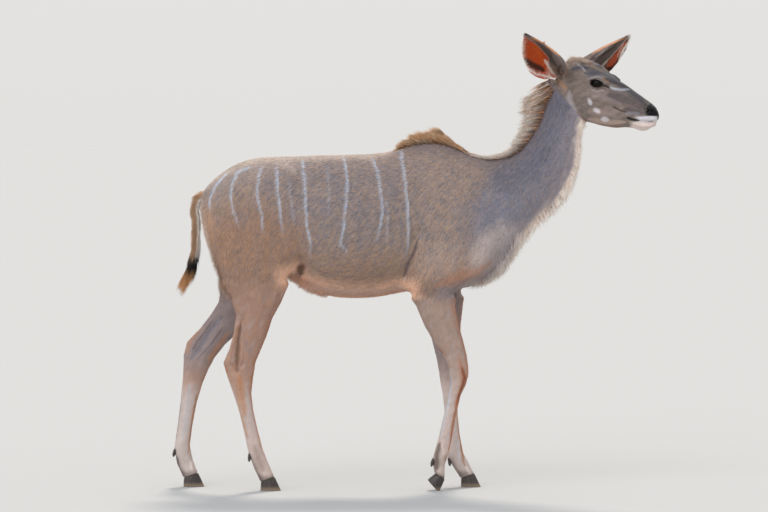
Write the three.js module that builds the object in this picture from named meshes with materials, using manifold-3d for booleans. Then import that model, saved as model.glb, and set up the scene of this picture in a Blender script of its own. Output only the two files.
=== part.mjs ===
// A greater kudu cow, life size, in a slow walking stance: head raised and turned a little to its right.
// Millimetres, +X towards the head, +Y to the animal's left, +Z up, standing on Z = 0.
import * as THREE from "three";
import { mergeVertices } from "three/addons/utils/BufferGeometryUtils.js";
import Module from "manifold-3d";

const wasm = await Module();
wasm.setup();

// Driving sizes.
const GAP = 0.3; // between parts that touch
const SLIVER = 0.08; // detail smaller than this is merged
const FAR = 4000; // longer than the animal, for cutting boxes
const TRUNK_SIDES = 20;
const LEG_SIDES = 12;
const HEAD_SIDES = 20;

// Colours of the coat and of the horny and wet parts.
const COAT = { fawn: 0x8f7865, grey: 0x84766c, rufous: 0x96694a, dark: 0x3a2c24, pale: 0xc9b8a4 };
const HOOF_COLOUR = 0x2b2623;
const EYE_COLOUR = 0x120b08;

// Stations of a loft: leading point (x, z), trailing point (x, z), y of the middle, half width, share of
// the way from the leading to the trailing point where it is widest, then how pinched each end is
// (1 is an ellipse, more is a ridge, less is a box).
const TRUNK = [
  [-528, 1066, -520, 1015, 0, 26, 0.5, 1, 1], // tail head
  [-505, 1092, -500, 905, 0, 88, 0.45, 1.1, 0.9], // pin bones
  [-450, 1143, -445, 815, 0, 136, 0.42, 1.1, 0.9], // croup
  [-375, 1185, -360, 788, 0, 160, 0.38, 1.05, 0.9], // hips
  [-300, 1202, -265, 778, 0, 166, 0.42, 1.1, 0.85], // loin
  [-190, 1206, -178, 755, 0, 170, 0.48, 1.15, 0.85], // flank
  [-88, 1210, -85, 693, 0, 186, 0.52, 1.15, 0.85], // belly
  [18, 1213, 18, 679, 0, 194, 0.54, 1.2, 0.85], // barrel
  [126, 1219, 130, 684, 0, 178, 0.55, 1.25, 0.9], // girth
  [216, 1248, 230, 704, 0, 158, 0.58, 1.4, 0.95], // behind the elbow
  [288, 1256, 310, 702, 0, 146, 0.6, 1.5, 0.95], // rear of the withers
  [360, 1255, 396, 699, 0, 140, 0.6, 1.5, 1], // withers
  [425, 1228, 478, 716, 0, 130, 0.58, 1.4, 1], // front of the withers
  [462, 1211, 545, 745, 0, 120, 0.56, 1.25, 1], // breast
  [505, 1196, 592, 800, 0, 108, 0.52, 1.15, 1], // root of the neck
  [558, 1193, 655, 900, 0, 92, 0.5, 1.1, 1],
  [610, 1210, 731, 976, 0, 80, 0.5, 1.1, 1],
  [652, 1254, 799, 1051, 0, 71, 0.5, 1.1, 1],
  [684, 1303, 842, 1134, 0, 64, 0.5, 1.1, 1],
  [709, 1353, 860, 1217, 0, 59, 0.5, 1.1, 1],
  [731, 1405, 866, 1293, 0, 57, 0.5, 1.05, 1],
  [752, 1451, 871, 1343, 0, 57, 0.5, 1, 1], // top of the neck
  [785, 1486, 865, 1400, 0, 46, 0.5, 1, 1], // inside the head
];

// The right foreleg is half bent, with its toe on the ground.
const FORE_RIGHT = [
  [402, 1196, 322, 1206, -40, 10, 0.5, 1, 1], // top of the shoulder blade
  [438, 1136, 296, 1152, -66, 26, 0.5, 1, 1],
  [500, 1037, 263, 1055, -92, 44, 0.5, 1, 1], // shoulder blade
  [552, 893, 234, 893, -108, 54, 0.5, 1, 0.9], // point of the shoulder
  [515, 774, 209, 762, -107, 56, 0.5, 1, 0.9], // upper arm
  [412, 717, 211, 727, -100, 50, 0.5, 0.9, 0.9], // elbow
  [396, 666, 252, 664, -95, 43, 0.5, 0.9, 0.9],
  [410, 594, 284, 590, -90, 37, 0.5, 0.9, 0.95], // forearm
  [425, 540, 319, 529, -85, 32, 0.5, 0.9, 1],
  [437, 490, 349, 486, -80, 30, 0.45, 0.85, 1],
  [444, 443, 372, 441, -77, 31, 0.45, 0.8, 0.9], // carpus
  [444, 412, 376, 404, -76, 29, 0.45, 0.8, 0.9],
  [434, 379, 375, 374, -76, 24, 0.45, 0.85, 0.9],
  [415, 340, 369, 337, -75, 21, 0.5, 0.9, 0.9],
  [398, 263, 352, 263, -74, 19, 0.5, 0.9, 0.9], // cannon
  [384, 184, 334, 187, -73, 20, 0.5, 0.9, 0.9],
  [371, 126, 313, 114, -72, 26, 0.5, 0.9, 0.85], // fetlock
  [359, 92, 316, 84, -72, 22, 0.5, 0.9, 0.85], // pastern
  [358, 41, 321, 62, -72, 25, 0.5, 0.9, 0.85], // coronet
  [356, 26, 327, 48, -72, 24, 0.5, 0.9, 0.9],
];
const FORE_LEFT = [
  [408, 1196, 328, 1206, 40, 10, 0.5, 1, 1],
  [444, 1136, 302, 1152, 66, 26, 0.5, 1, 1],
  [506, 1037, 268, 1055, 92, 44, 0.5, 1, 1],
  [556, 893, 244, 893, 108, 54, 0.5, 1, 0.9],
  [527, 774, 232, 765, 107, 56, 0.5, 1, 0.9],
  [438, 715, 238, 722, 100, 50, 0.5, 0.9, 0.9],
  [430, 668, 268, 664, 96, 43, 0.5, 0.9, 0.9],
  [420, 588, 301, 575, 90, 37, 0.5, 0.9, 0.95],
  [418, 520, 316, 515, 85, 32, 0.5, 0.9, 1],
  [419, 468, 328, 467, 80, 30, 0.45, 0.85, 1],
  [420, 427, 336, 423, 77, 31, 0.45, 0.8, 0.9],
  [412, 378, 344, 376, 76, 26, 0.45, 0.85, 0.9],
  [407, 335, 352, 335, 75, 22, 0.5, 0.9, 0.9],
  [408, 263, 359, 263, 74, 20, 0.5, 0.9, 0.9],
  [415, 191, 364, 191, 73, 21, 0.5, 0.9, 0.9],
  [428, 125, 370, 103, 72, 26, 0.5, 0.9, 0.85],
  [448, 87, 395, 65, 72, 22, 0.5, 0.9, 0.85],
  [468, 49, 417, 31, 72, 25, 0.5, 0.9, 0.85],
  [475, 33, 426, 19, 72, 24, 0.5, 0.9, 0.9],
];
const HIND_RIGHT = [
  [-240, 1120, -440, 1125, -80, 34, 0.5, 1, 1], // hip
  [-206, 1040, -485, 1045, -94, 55, 0.5, 1, 0.9],
  [-188, 929, -505, 940, -103, 62, 0.5, 1, 0.9], // thigh
  [-184, 821, -486, 832, -106, 60, 0.5, 0.9, 0.9],
  [-198, 738, -450, 749, -106, 54, 0.5, 0.85, 0.9], // stifle
  [-223, 680, -410, 695, -104, 47, 0.5, 0.85, 0.9],
  [-257, 619, -391, 630, -99, 40, 0.5, 0.85, 0.95],
  [-277, 558, -401, 562, -95, 35, 0.5, 0.85, 1.1], // gaskin
  [-298, 508, -415, 511, -91, 31, 0.45, 0.85, 1.2],
  [-317, 463, -438, 458, -88, 30, 0.42, 0.85, 1.1], // hock
  [-328, 403, -420, 402, -86, 29, 0.42, 0.85, 1],
  [-334, 349, -400, 346, -85, 25, 0.45, 0.85, 0.9],
  [-327, 288, -379, 281, -84, 21, 0.5, 0.9, 0.9], // cannon
  [-310, 212, -362, 209, -83, 20, 0.5, 0.9, 0.9],
  [-293, 148, -346, 133, -82, 26, 0.5, 0.9, 0.85], // fetlock
  [-273, 98, -326, 79, -82, 22, 0.5, 0.9, 0.85],
  [-252, 50, -304, 32, -82, 25, 0.5, 0.9, 0.85], // coronet
  [-245, 34, -295, 20, -82, 24, 0.5, 0.9, 0.9],
];
const HIND_LEFT = [
  [-240, 1120, -440, 1125, 80, 34, 0.5, 1, 1],
  [-206, 1040, -485, 1045, 94, 55, 0.5, 1, 0.9],
  [-195, 929, -505, 940, 103, 62, 0.5, 1, 0.9],
  [-213, 812, -487, 834, 106, 60, 0.5, 0.9, 0.9],
  [-242, 726, -463, 758, 106, 54, 0.5, 0.85, 0.9],
  [-284, 664, -452, 712, 104, 47, 0.5, 0.85, 0.9],
  [-335, 608, -462, 670, 99, 40, 0.5, 0.85, 0.95],
  [-384, 560, -487, 629, 95, 35, 0.5, 0.85, 1.1],
  [-434, 515, -527, 577, 91, 31, 0.45, 0.85, 1.2],
  [-470, 470, -576, 526, 88, 30, 0.42, 0.85, 1.1],
  [-494, 428, -587, 480, 87, 29, 0.42, 0.85, 1],
  [-517, 374, -590, 398, 86, 25, 0.45, 0.85, 0.9],
  [-538, 304, -598, 314, 85, 22, 0.5, 0.9, 0.9],
  [-554, 220, -609, 226, 84, 21, 0.5, 0.9, 0.9],
  [-563, 150, -622, 137, 83, 26, 0.5, 0.9, 0.85],
  [-553, 100, -611, 82, 83, 22, 0.5, 0.9, 0.85],
  [-534, 50, -588, 32, 83, 25, 0.5, 0.9, 0.85],
  [-527, 34, -579, 20, 83, 24, 0.5, 0.9, 0.9],
];
const TAIL = [
  [-505, 1086, -512, 1052, 0, 14, 0.5, 1, 1], // inside the rump
  [-545, 1066, -524, 1046, 0, 17, 0.5, 1, 1],
  [-551, 1020, -523, 1018, 0, 17, 0.5, 1, 1],
  [-553, 950, -519, 950, 0, 16, 0.5, 1, 1],
  [-557, 880, -520, 878, 0, 15, 0.5, 1, 1],
  [-569, 812, -535, 806, 0, 13, 0.5, 1, 1],
  [-583, 768, -560, 758, 0, 8, 0.5, 1, 1],
  [-590, 742, -578, 738, 0, 4, 0.5, 1, 1],
];
// Tiers of hair down the tail: share of the way down, count, length, flare away from the tail.
const TAIL_TIERS = [
  [0.12, 4, 80, 0.12],
  [0.36, 4, 100, 0.16],
  [0.6, 5, 104, 0.2],
  [0.88, 5, 90, 0.16],
];

// The head in its own frame: origin under the poll, x to the nose, z up.
const HEAD = [
  [-22, 36, 20, -60, 0, 34, 0.5, 0.9, 1],
  [2, 76, 50, -108, 0, 47, 0.38, 0.65, 1.1], // poll
  [45, 86, 88, -130, 0, 57, 0.34, 0.6, 1.05],
  [88, 88, 120, -136, 0, 63, 0.3, 0.55, 1.1], // brow
  [128, 76, 150, -142, 0, 66, 0.28, 0.55, 1.15], // eyes
  [167, 50, 183, -145, 0, 58, 0.3, 0.65, 1.15],
  [206, 28, 214, -146, 0, 48, 0.36, 0.75, 1.1],
  [245, 9, 247, -141, 0, 41, 0.42, 0.85, 1.1], // nose
  [283, -13, 281, -142, 0, 37, 0.48, 0.85, 1],
  [318, -32, 311, -149, 0, 36, 0.5, 0.85, 0.95], // muzzle
  [343, -46, 334, -145, 0, 34, 0.45, 0.85, 0.95], // nostrils
  [360, -60, 352, -130, 0, 28, 0.45, 0.9, 1],
  [371, -74, 367, -115, 0, 18, 0.5, 1, 1], // upper lip
  [377, -85, 375, -104, 0, 7, 0.5, 1, 1],
];
const HEAD_AT = new THREE.Vector3(792, 0, 1458);
const HEAD_YAW = -30; // degrees, to the animal's right
const HEAD_PITCH = 4; // degrees, nose down
const HEAD_ROLL = 4; // degrees, crown towards its right
const EYE_AT = [157, 50, 14];
const EYE_RADIUS = 21;
const LID = 3.2; // lid thickness over the eyeball
const LID_OPENING = [42, 25]; // length and height
const LID_TILT = -4; // degrees, inner corner lower
const MOUTH = { corner: [262, -101], bend: [308, -108], front: [378, -109], slit: 2.4 };
const NOSTRIL_AT = [346, 22, -73];
const EAR_ROOT_AT = [12, 54, 52];
const EAR_WALL = [6.5, 4]; // at the root and at the rim
// Each ear leaves the head in one direction and bends to its tip; the cup opens to its opening direction.
const EARS = {
  right: { leaves: [-0.5, -0.8, 0.1], tip: [637, -192, 1627], opening: [-0.2, -0.52, -0.8], breadth: 1 },
  left: { leaves: [0.85, 0.5, 0], tip: [1036, 84, 1630], opening: [0.506, -0.556, -0.64], breadth: 0.9 },
};

// Heights of the cuts across the legs, and planes across the body.
const ELBOW_CUT = 694;
const GROIN_CUT = 752;
const CUTS = {
  haunch: { at: [-196, 0, 1000], normal: [1, 0, 0] },
  girth: { at: [182, 0, 1000], normal: [1, 0, 0] },
  neckRoot: { at: [505, 0, 1208], normal: [0.972, 0, 0.233] },
  throat: { at: [745, 0, 1451], normal: [0.743, 0, 0.669] },
};

// Hair of the mane: length along the trunk's top line, from the withers to the poll.
const MANE = [
  // x of the root, length, lean back from upright in degrees
  [205, 18, 60],
  [260, 48, 53],
  [330, 57, 46],
  [385, 60, 38],
  [430, 38, 50],
  [470, 28, 58],
  [520, 34, 48],
  [570, 38, 48],
  [625, 44, 46],
  [665, 54, 42],
  [700, 66, 36],
  [740, 84, 40],
  [775, 80, 62],
];
const MANE_CORE = 0.45; // share of the hair's length that is solid
const LOCK_STEP = 13;
const LOCK_WIDTH = 27;
const LOCK_THICKNESS = 7;
const TAIL_LOCK_WIDTH = 28;
const LOCK_SUNK = 15;

// A seeded draw from -1 to 1.
let seed = 20;
function draw() {
  seed = (seed * 16807) % 2147483647;
  return (2 * seed) / 2147483647 - 1;
}

function solidOf(geometry) {
  const bare = new THREE.BufferGeometry();
  bare.setAttribute("position", geometry.getAttribute("position"));
  if (geometry.index) bare.setIndex(geometry.index);
  const merged = mergeVertices(bare, 1e-3);
  const source = merged.index.array;
  const kept = [];
  for (let i = 0; i < source.length; i += 3) {
    const [a, b, c] = [source[i], source[i + 1], source[i + 2]];
    if (a !== b && b !== c && a !== c) kept.push(a, b, c);
  }
  const triVerts = new Uint32Array(kept);
  const vertProperties = new Float32Array(merged.attributes.position.array);
  const made = new wasm.Manifold(new wasm.Mesh({ numProp: 3, vertProperties, triVerts }));
  if (made.volume() > 0) return made;
  for (let i = 0; i < triVerts.length; i += 3) {
    [triVerts[i + 1], triVerts[i + 2]] = [triVerts[i + 2], triVerts[i + 1]];
  }
  return new wasm.Manifold(new wasm.Mesh({ numProp: 3, vertProperties, triVerts }));
}

// A closed solid from rings of equal length, each end closed by a fan.
function skin(rings) {
  const sides = rings[0].length;
  const points = rings.flat();
  const index = [];
  rings.slice(1).forEach((_, r) => {
    for (let j = 0; j < sides; j++) {
      const k = (j + 1) % sides;
      const [a, b, c, d] = [r * sides + j, r * sides + k, (r + 1) * sides + j, (r + 1) * sides + k];
      index.push(a, b, d, a, d, c);
    }
  });
  [0, rings.length - 1].forEach((r, end) => {
    const middle = points.length;
    points.push(rings[r].reduce((sum, p) => sum.add(p), new THREE.Vector3()).divideScalar(sides));
    for (let j = 0; j < sides; j++) {
      const [p, q] = [r * sides + j, r * sides + ((j + 1) % sides)];
      index.push(...(end ? [middle, p, q] : [middle, q, p]));
    }
  });
  return solidOf(new THREE.BufferGeometry().setFromPoints(points).setIndex(index));
}

// Smooth values between stations, by distance along the middle of the loft.
function follow(stations) {
  const middles = stations.map((s) => new THREE.Vector3((s[0] + s[2]) / 2, s[4], (s[1] + s[3]) / 2));
  const along = [0];
  middles.slice(1).forEach((p, i) => along.push(along[i] + p.distanceTo(middles[i])));
  const size = stations[0].length;
  const spline = new THREE.CubicInterpolant(along, stations.flat(), size);
  return { along, at: (t) => Array.from(spline.evaluate(t)) };
}

function section([ax, az, bx, bz, y, half, widest, pinchA, pinchB], sides) {
  const lead = new THREE.Vector3(ax, y, az);
  const run = new THREE.Vector3(bx - ax, 0, bz - az);
  const centre = lead.addScaledVector(run, widest);
  return Array.from({ length: sides }, (_, j) => {
    const angle = ((j + 0.5) * 2 * Math.PI) / sides;
    const [c, s] = [Math.cos(angle), Math.sin(angle)];
    const reach = c > 0 ? -widest * c : -(1 - widest) * c;
    const spread = half * Math.sign(s) * Math.abs(s) ** (c > 0 ? pinchA : pinchB);
    return centre.clone().addScaledVector(run, reach).add(new THREE.Vector3(0, spread, 0));
  });
}

function loft(stations, sides, between = 2) {
  const path = follow(stations);
  const rings = [];
  path.along.forEach((t, i) => {
    const next = path.along[i + 1];
    const steps = next === undefined ? 1 : between;
    for (let k = 0; k < steps; k++) {
      rings.push(section(path.at(next === undefined ? t : t + ((next - t) * k) / between), sides));
    }
  });
  return skin(rings);
}

function ellipsoid(at, radii, turn = [0, 0, 0], detail = [10, 7]) {
  const geometry = new THREE.SphereGeometry(1, ...detail).scale(...radii);
  const euler = new THREE.Euler(...turn.map(THREE.MathUtils.degToRad));
  geometry.applyMatrix4(new THREE.Matrix4().makeRotationFromEuler(euler));
  return solidOf(geometry.translate(...at));
}

// Everything on the side that the normal points to, from half a gap past the point.
function beyond(at, normal, gap = GAP / 2) {
  const n = new THREE.Vector3(...normal).normalize();
  const turn = new THREE.Quaternion().setFromUnitVectors(new THREE.Vector3(0, 0, 1), n);
  const middle = new THREE.Vector3(...at).addScaledVector(n, FAR / 2 + gap);
  const geometry = new THREE.BoxGeometry(FAR, FAR, FAR).applyQuaternion(turn);
  return solidOf(geometry.translate(middle.x, middle.y, middle.z));
}

const opposite = (v) => v.map((c) => -c);
const onSide = (solid, cut) => solid.intersect(beyond(cut.at, cut.normal));
const behind = (solid, cut) => solid.intersect(beyond(cut.at, opposite(cut.normal)));
const join = (solids) => wasm.Manifold.union(solids);

// The largest closed body of a solid, without the slivers that cuts leave.
function largest(solid) {
  return solid.decompose().sort((a, b) => b.volume() - a.volume())[0].simplify(SLIVER);
}

// A flat, tapered lock of hair from its sunk root, bending from one direction to another.
function lock(root, from, to, wide, length, width, thickness, sunk = LOCK_SUNK) {
  const steps = 3;
  const place = root.clone().addScaledVector(from, -sunk);
  const rings = [];
  for (let i = 0; i <= steps; i++) {
    const share = i / steps;
    const heading = from.clone().lerp(to, share).normalize();
    const across = wide.clone().addScaledVector(heading, -wide.dot(heading)).normalize();
    const thin = heading.clone().cross(across).normalize();
    const taper = i === steps ? 0.06 : 0.72 + 0.28 * Math.sin(Math.PI * share * 1.2) - 0.35 * share ** 2;
    const [w, t] = [(width / 2) * taper, (thickness / 2) * (1.05 - share * 0.95)];
    rings.push([
      place.clone().addScaledVector(across, w),
      place.clone().addScaledVector(thin, t),
      place.clone().addScaledVector(across, -w),
      place.clone().addScaledVector(thin, -t),
    ]);
    place.addScaledVector(heading, i === 0 ? sunk + length / steps : length / steps);
  }
  return skin(rings);
}

// Value of a column of a table at x, by straight lines between its rows.
function read(table, x, column) {
  const last = table.length - 1;
  const i = Math.min(Math.max(table.findIndex((row) => row[0] > x), 1) || last, last);
  const share = (x - table[i - 1][0]) / (table[i][0] - table[i - 1][0]);
  return THREE.MathUtils.lerp(table[i - 1][column], table[i][column], Math.min(Math.max(share, 0), 1));
}

// The thin core of the mane, out to a share of the length of its hair.
function crest(share) {
  const path = follow(TRUNK);
  const rings = [];
  for (let t = 0; t <= path.along.at(-1); t += 26) {
    const [x, z] = path.at(t);
    if (x < MANE[0][0]) continue;
    const [nx, nz] = path.at(t + 3);
    const ahead = new THREE.Vector3(nx - x, 0, nz - z).normalize();
    const up = new THREE.Vector3(-ahead.z, 0, ahead.x);
    const lean = THREE.MathUtils.degToRad(read(MANE, x, 2));
    const heading = up.clone().multiplyScalar(Math.cos(lean)).addScaledVector(ahead, -Math.sin(lean));
    const root = new THREE.Vector3(x, 0, z);
    const [low, high] = [-LOCK_SUNK, share * read(MANE, x, 1)].map((far) => root.clone().addScaledVector(heading, far));
    const side = new THREE.Vector3(0, 1, 0);
    rings.push([
      low.clone().addScaledVector(side, 11),
      high.clone().addScaledVector(side, 3),
      high.clone().addScaledVector(side, -3),
      low.clone().addScaledVector(side, -11),
    ]);
  }
  return skin(rings);
}

// The upright crest of hair from the withers to the poll, in three rows that overlap.
function mane() {
  const path = follow(TRUNK);
  const locks = [];
  const rows = [1, 0, -1, 0];
  const end = path.along.at(-1);
  let last = null;
  for (let t = 0; t < end; t += 2) {
    const [x, z] = path.at(t);
    const here = new THREE.Vector3(x, 0, z);
    if (x < MANE[0][0] || (last && here.distanceTo(last) < LOCK_STEP)) continue;
    last = here;
    const [nx, nz] = path.at(t + 3);
    const ahead = new THREE.Vector3(nx - x, 0, nz - z).normalize();
    const up = new THREE.Vector3(-ahead.z, 0, ahead.x);
    const length = read(MANE, x, 1) * (1 + 0.14 * draw());
    const lean = THREE.MathUtils.degToRad(read(MANE, x, 2) + 6 * draw());
    const row = rows[locks.length % rows.length];
    const side = row * 0.2 + 0.08 * draw();
    const heading = (angle, spread) =>
      up
        .clone()
        .multiplyScalar(Math.cos(angle))
        .addScaledVector(ahead, -Math.sin(angle))
        .add(new THREE.Vector3(0, spread, 0))
        .normalize();
    const root = here.clone().add(new THREE.Vector3(0, row * 7, -3));
    const width = LOCK_WIDTH * (1 + 0.12 * draw());
    const [from, to] = [heading(lean - 0.3, side), heading(lean + 0.35, side * 0.3)];
    locks.push(lock(root, from, to, ahead, length * (row ? 0.94 : 1.04), width, LOCK_THICKNESS));
  }
  return locks;
}

function leg(stations, side, front) {
  const whole = loft(stations, LEG_SIDES, 1);
  const y = stations.at(-1)[4];
  const top = front ? ELBOW_CUT : GROIN_CUT;
  const [knee, ankle, pastern, coronet] = [-9, -4, -3, -2].map((i) => stations.at(i));
  const across = (s, drop) => ({
    at: [(s[0] + s[2]) / 2, 0, (s[1] + s[3]) / 2 + drop],
    normal: [s[3] - s[1], 0, s[0] - s[2]],
  });
  const cuts = [{ at: [0, 0, top], normal: [0, 0, 1] }, across(knee, -8), across(ankle, 4), across(coronet, 0)];
  const name = (front ? "fore" : "hind") + "_" + side;
  const lower = behind(whole, cuts[0]);
  const upperLeg = onSide(lower, cuts[1]);
  const cannon = onSide(behind(lower, cuts[1]), cuts[2]);
  const foot = onSide(behind(lower, cuts[2]), cuts[3]);
  const hooves = claws(coronet, cuts[3], y, front);
  return {
    name,
    shoulder: onSide(whole, cuts[0]),
    flesh: { upper: upperLeg, cannon, foot },
    hooves,
    dewclaws: dewclaws(ankle, pastern, y, foot, cannon),
  };
}

// Two cloven claws under a coronet, cut flat by the ground.
function claws(coronet, cut, y, front) {
  const [width, height] = front ? [27, 52] : [25, 52];
  const [levels, points] = [5, 14];
  const slope = Math.atan2(coronet[1] - coronet[3], coronet[0] - coronet[2]);
  const pitch = slope - Math.atan2(18, 52); // a foot flat on the ground has its coronet at that slope
  const centre = new THREE.Vector3((coronet[0] + coronet[2]) / 2, 0, (coronet[1] + coronet[3]) / 2);
  const half = Math.hypot(coronet[2] - coronet[0], coronet[3] - coronet[1]) / 2;
  const floor = beyond([0, 0, 0], [0, 0, 1], 0);
  return Object.fromEntries(
    [-1, 1].map((outward) => {
      const rings = Array.from({ length: levels }, (_, i) => {
        const up = i / (levels - 1);
        const toe = THREE.MathUtils.lerp(half + 23, half - 2, up);
        const heel = THREE.MathUtils.lerp(-half + 2, -half + 4, up);
        return Array.from({ length: points }, (_, j) => {
          const angle = (j * 2 * Math.PI) / points;
          const [c, s] = [Math.cos(angle), Math.sin(angle)];
          const taper = 1 - 0.6 * Math.max(c, 0) ** 2;
          const out = s > 0 ? s ** 0.8 * (width - 5) * taper + 5 : 5 + s * 3.4;
          const x = (toe + heel) / 2 + (c * (toe - heel)) / 2;
          return new THREE.Vector3(x, outward * out * (1 - 0.08 * up), up * height - 41);
        });
      });
      const local = skin(rings);
      const place = new THREE.Matrix4().makeRotationY(-pitch).setPosition(centre.x, y, centre.z);
      const set = local.transform(place.elements);
      return [outward < 0 ? "right" : "left", largest(behind(set, cut).intersect(floor))];
    }),
  );
}

// Two small horny points behind the fetlock.
function dewclaws(ankle, pastern, y, foot, cannon) {
  const from = new THREE.Vector3(ankle[2], y, ankle[3]);
  const down = new THREE.Vector3(pastern[2] - ankle[2], 0, pastern[3] - ankle[3]).normalize();
  const back = new THREE.Vector3(down.z, 0, -down.x);
  if (back.x > 0) back.negate();
  return Object.fromEntries(
    [-1, 1].map((outward) => {
      const root = from.clone().addScaledVector(down, 12).add(new THREE.Vector3(0, outward * 13, 0));
      const heading = back.clone().multiplyScalar(0.42).addScaledVector(down, 0.9).normalize();
      const side = new THREE.Vector3(0, 1, 0);
      const deep = heading.clone().cross(side);
      const sizes = [
        [-14, 7],
        [3, 8.5],
        [12, 7],
        [18, 2.5],
      ];
      const rings = sizes.map(([far, r]) =>
        Array.from({ length: 6 }, (_, j) => {
          const angle = (j * Math.PI) / 3;
          return root
            .clone()
            .addScaledVector(heading, far)
            .addScaledVector(side, 0.85 * r * Math.cos(angle))
            .addScaledVector(deep, 0.8 * r * Math.sin(angle));
        }),
      );
      const clear = back.clone().multiplyScalar(GAP * 1.5).toArray();
      const flesh = join([foot, cannon]);
      const point = skin(rings).subtract(flesh).subtract(flesh.translate(clear));
      return [outward < 0 ? "right" : "left", largest(point)];
    }),
  );
}

const headMatrix = new THREE.Matrix4()
  .makeRotationZ(THREE.MathUtils.degToRad(HEAD_YAW))
  .multiply(new THREE.Matrix4().makeRotationY(THREE.MathUtils.degToRad(HEAD_PITCH)))
  .multiply(new THREE.Matrix4().makeRotationX(THREE.MathUtils.degToRad(HEAD_ROLL)))
  .setPosition(HEAD_AT);
const inHead = (x, y, z) => new THREE.Vector3(x, y, z).applyMatrix4(headMatrix);

function mouthSlit() {
  const { corner, bend, front, slit } = MOUTH;
  const line = new THREE.QuadraticBezierCurve(...[corner, bend, front].map((p) => new THREE.Vector2(...p)));
  const points = line.getPoints(8);
  const shape = new THREE.Shape([
    ...points.map((p) => new THREE.Vector2(p.x, p.y + slit / 2)),
    ...points.reverse().map((p) => new THREE.Vector2(p.x, p.y - slit / 2)),
  ]);
  const geometry = new THREE.ExtrudeGeometry(shape, { depth: 160, bevelEnabled: false });
  return solidOf(geometry.translate(0, 0, -80).rotateX(Math.PI / 2));
}

// The lids: a shell over the eyeball with an almond opening.
function lidOpening(side) {
  const [long, high] = LID_OPENING;
  const shape = new THREE.Shape();
  shape.moveTo(-long / 2, 0);
  shape.quadraticCurveTo(-2, high * 1.05, long / 2, -3);
  shape.quadraticCurveTo(4, -high * 0.95, -long / 2, 0);
  const geometry = new THREE.ExtrudeGeometry(shape, { depth: 60, bevelEnabled: false, curveSegments: 7 });
  geometry.rotateZ(THREE.MathUtils.degToRad(LID_TILT)).rotateX(Math.PI / 2);
  if (side > 0) geometry.rotateX(Math.PI).scale(1, 1, -1);
  return geometry;
}

function headSolid() {
  const bulk = loft(HEAD, HEAD_SIDES);
  const sides = [-1, 1];
  const adds = sides.flatMap((side) => [
    ellipsoid([EYE_AT[0] - 2, side * 46, EYE_AT[2] + 6], [54, 17, 23], [0, 2, side * -16], [14, 8]), // orbit
    ellipsoid([342, side * 18, -75], [27, 16, 14], [0, 30, side * -6], [12, 8]), // wing of the nostril
    ellipsoid([332, side * 16, -92], [40, 21, 18], [0, 4, side * -8], [12, 8]), // upper lip
    ellipsoid([325, side * 14, -122], [38, 19, 14], [0, 0, side * -8], [12, 8]), // lower lip
    ellipsoid([EYE_AT[0], side * EYE_AT[1], EYE_AT[2]], Array(3).fill(EYE_RADIUS + LID), [0, 0, 0], [12, 8]),
  ]);
  const cuts = [mouthSlit()];
  sides.forEach((side) => {
    const centre = [EYE_AT[0], side * EYE_AT[1], EYE_AT[2]];
    const opening = lidOpening(side).translate(...centre);
    cuts.push(solidOf(opening));
    cuts.push(ellipsoid(centre, Array(3).fill(EYE_RADIUS + GAP), [0, 0, 0], [12, 8]));
    const [nx, ny, nz] = NOSTRIL_AT;
    cuts.push(ellipsoid([nx, side * (ny + 13), nz + 1], [15, 11, 5.5], [0, 28, side * 30], [12, 8]));
  });
  return join([bulk, ...adds]).subtract(join(cuts));
}

// Short upright hair on the crown, between the ears.
function crownTuft() {
  return Array.from({ length: 8 }, (_, i) => {
    const root = new THREE.Vector3(20 + i * 9, ((i % 3) - 1) * 12, 82);
    const from = new THREE.Vector3(-0.3, 0.25 * draw(), 1).normalize();
    const to = new THREE.Vector3(-0.8, 0.25 * draw(), 0.8).normalize();
    const wide = new THREE.Vector3(1, 0.8 * draw(), 0).normalize();
    return lock(root, from, to, wide, 18 + 4 * draw(), 20, 7, 12);
  });
}

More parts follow.
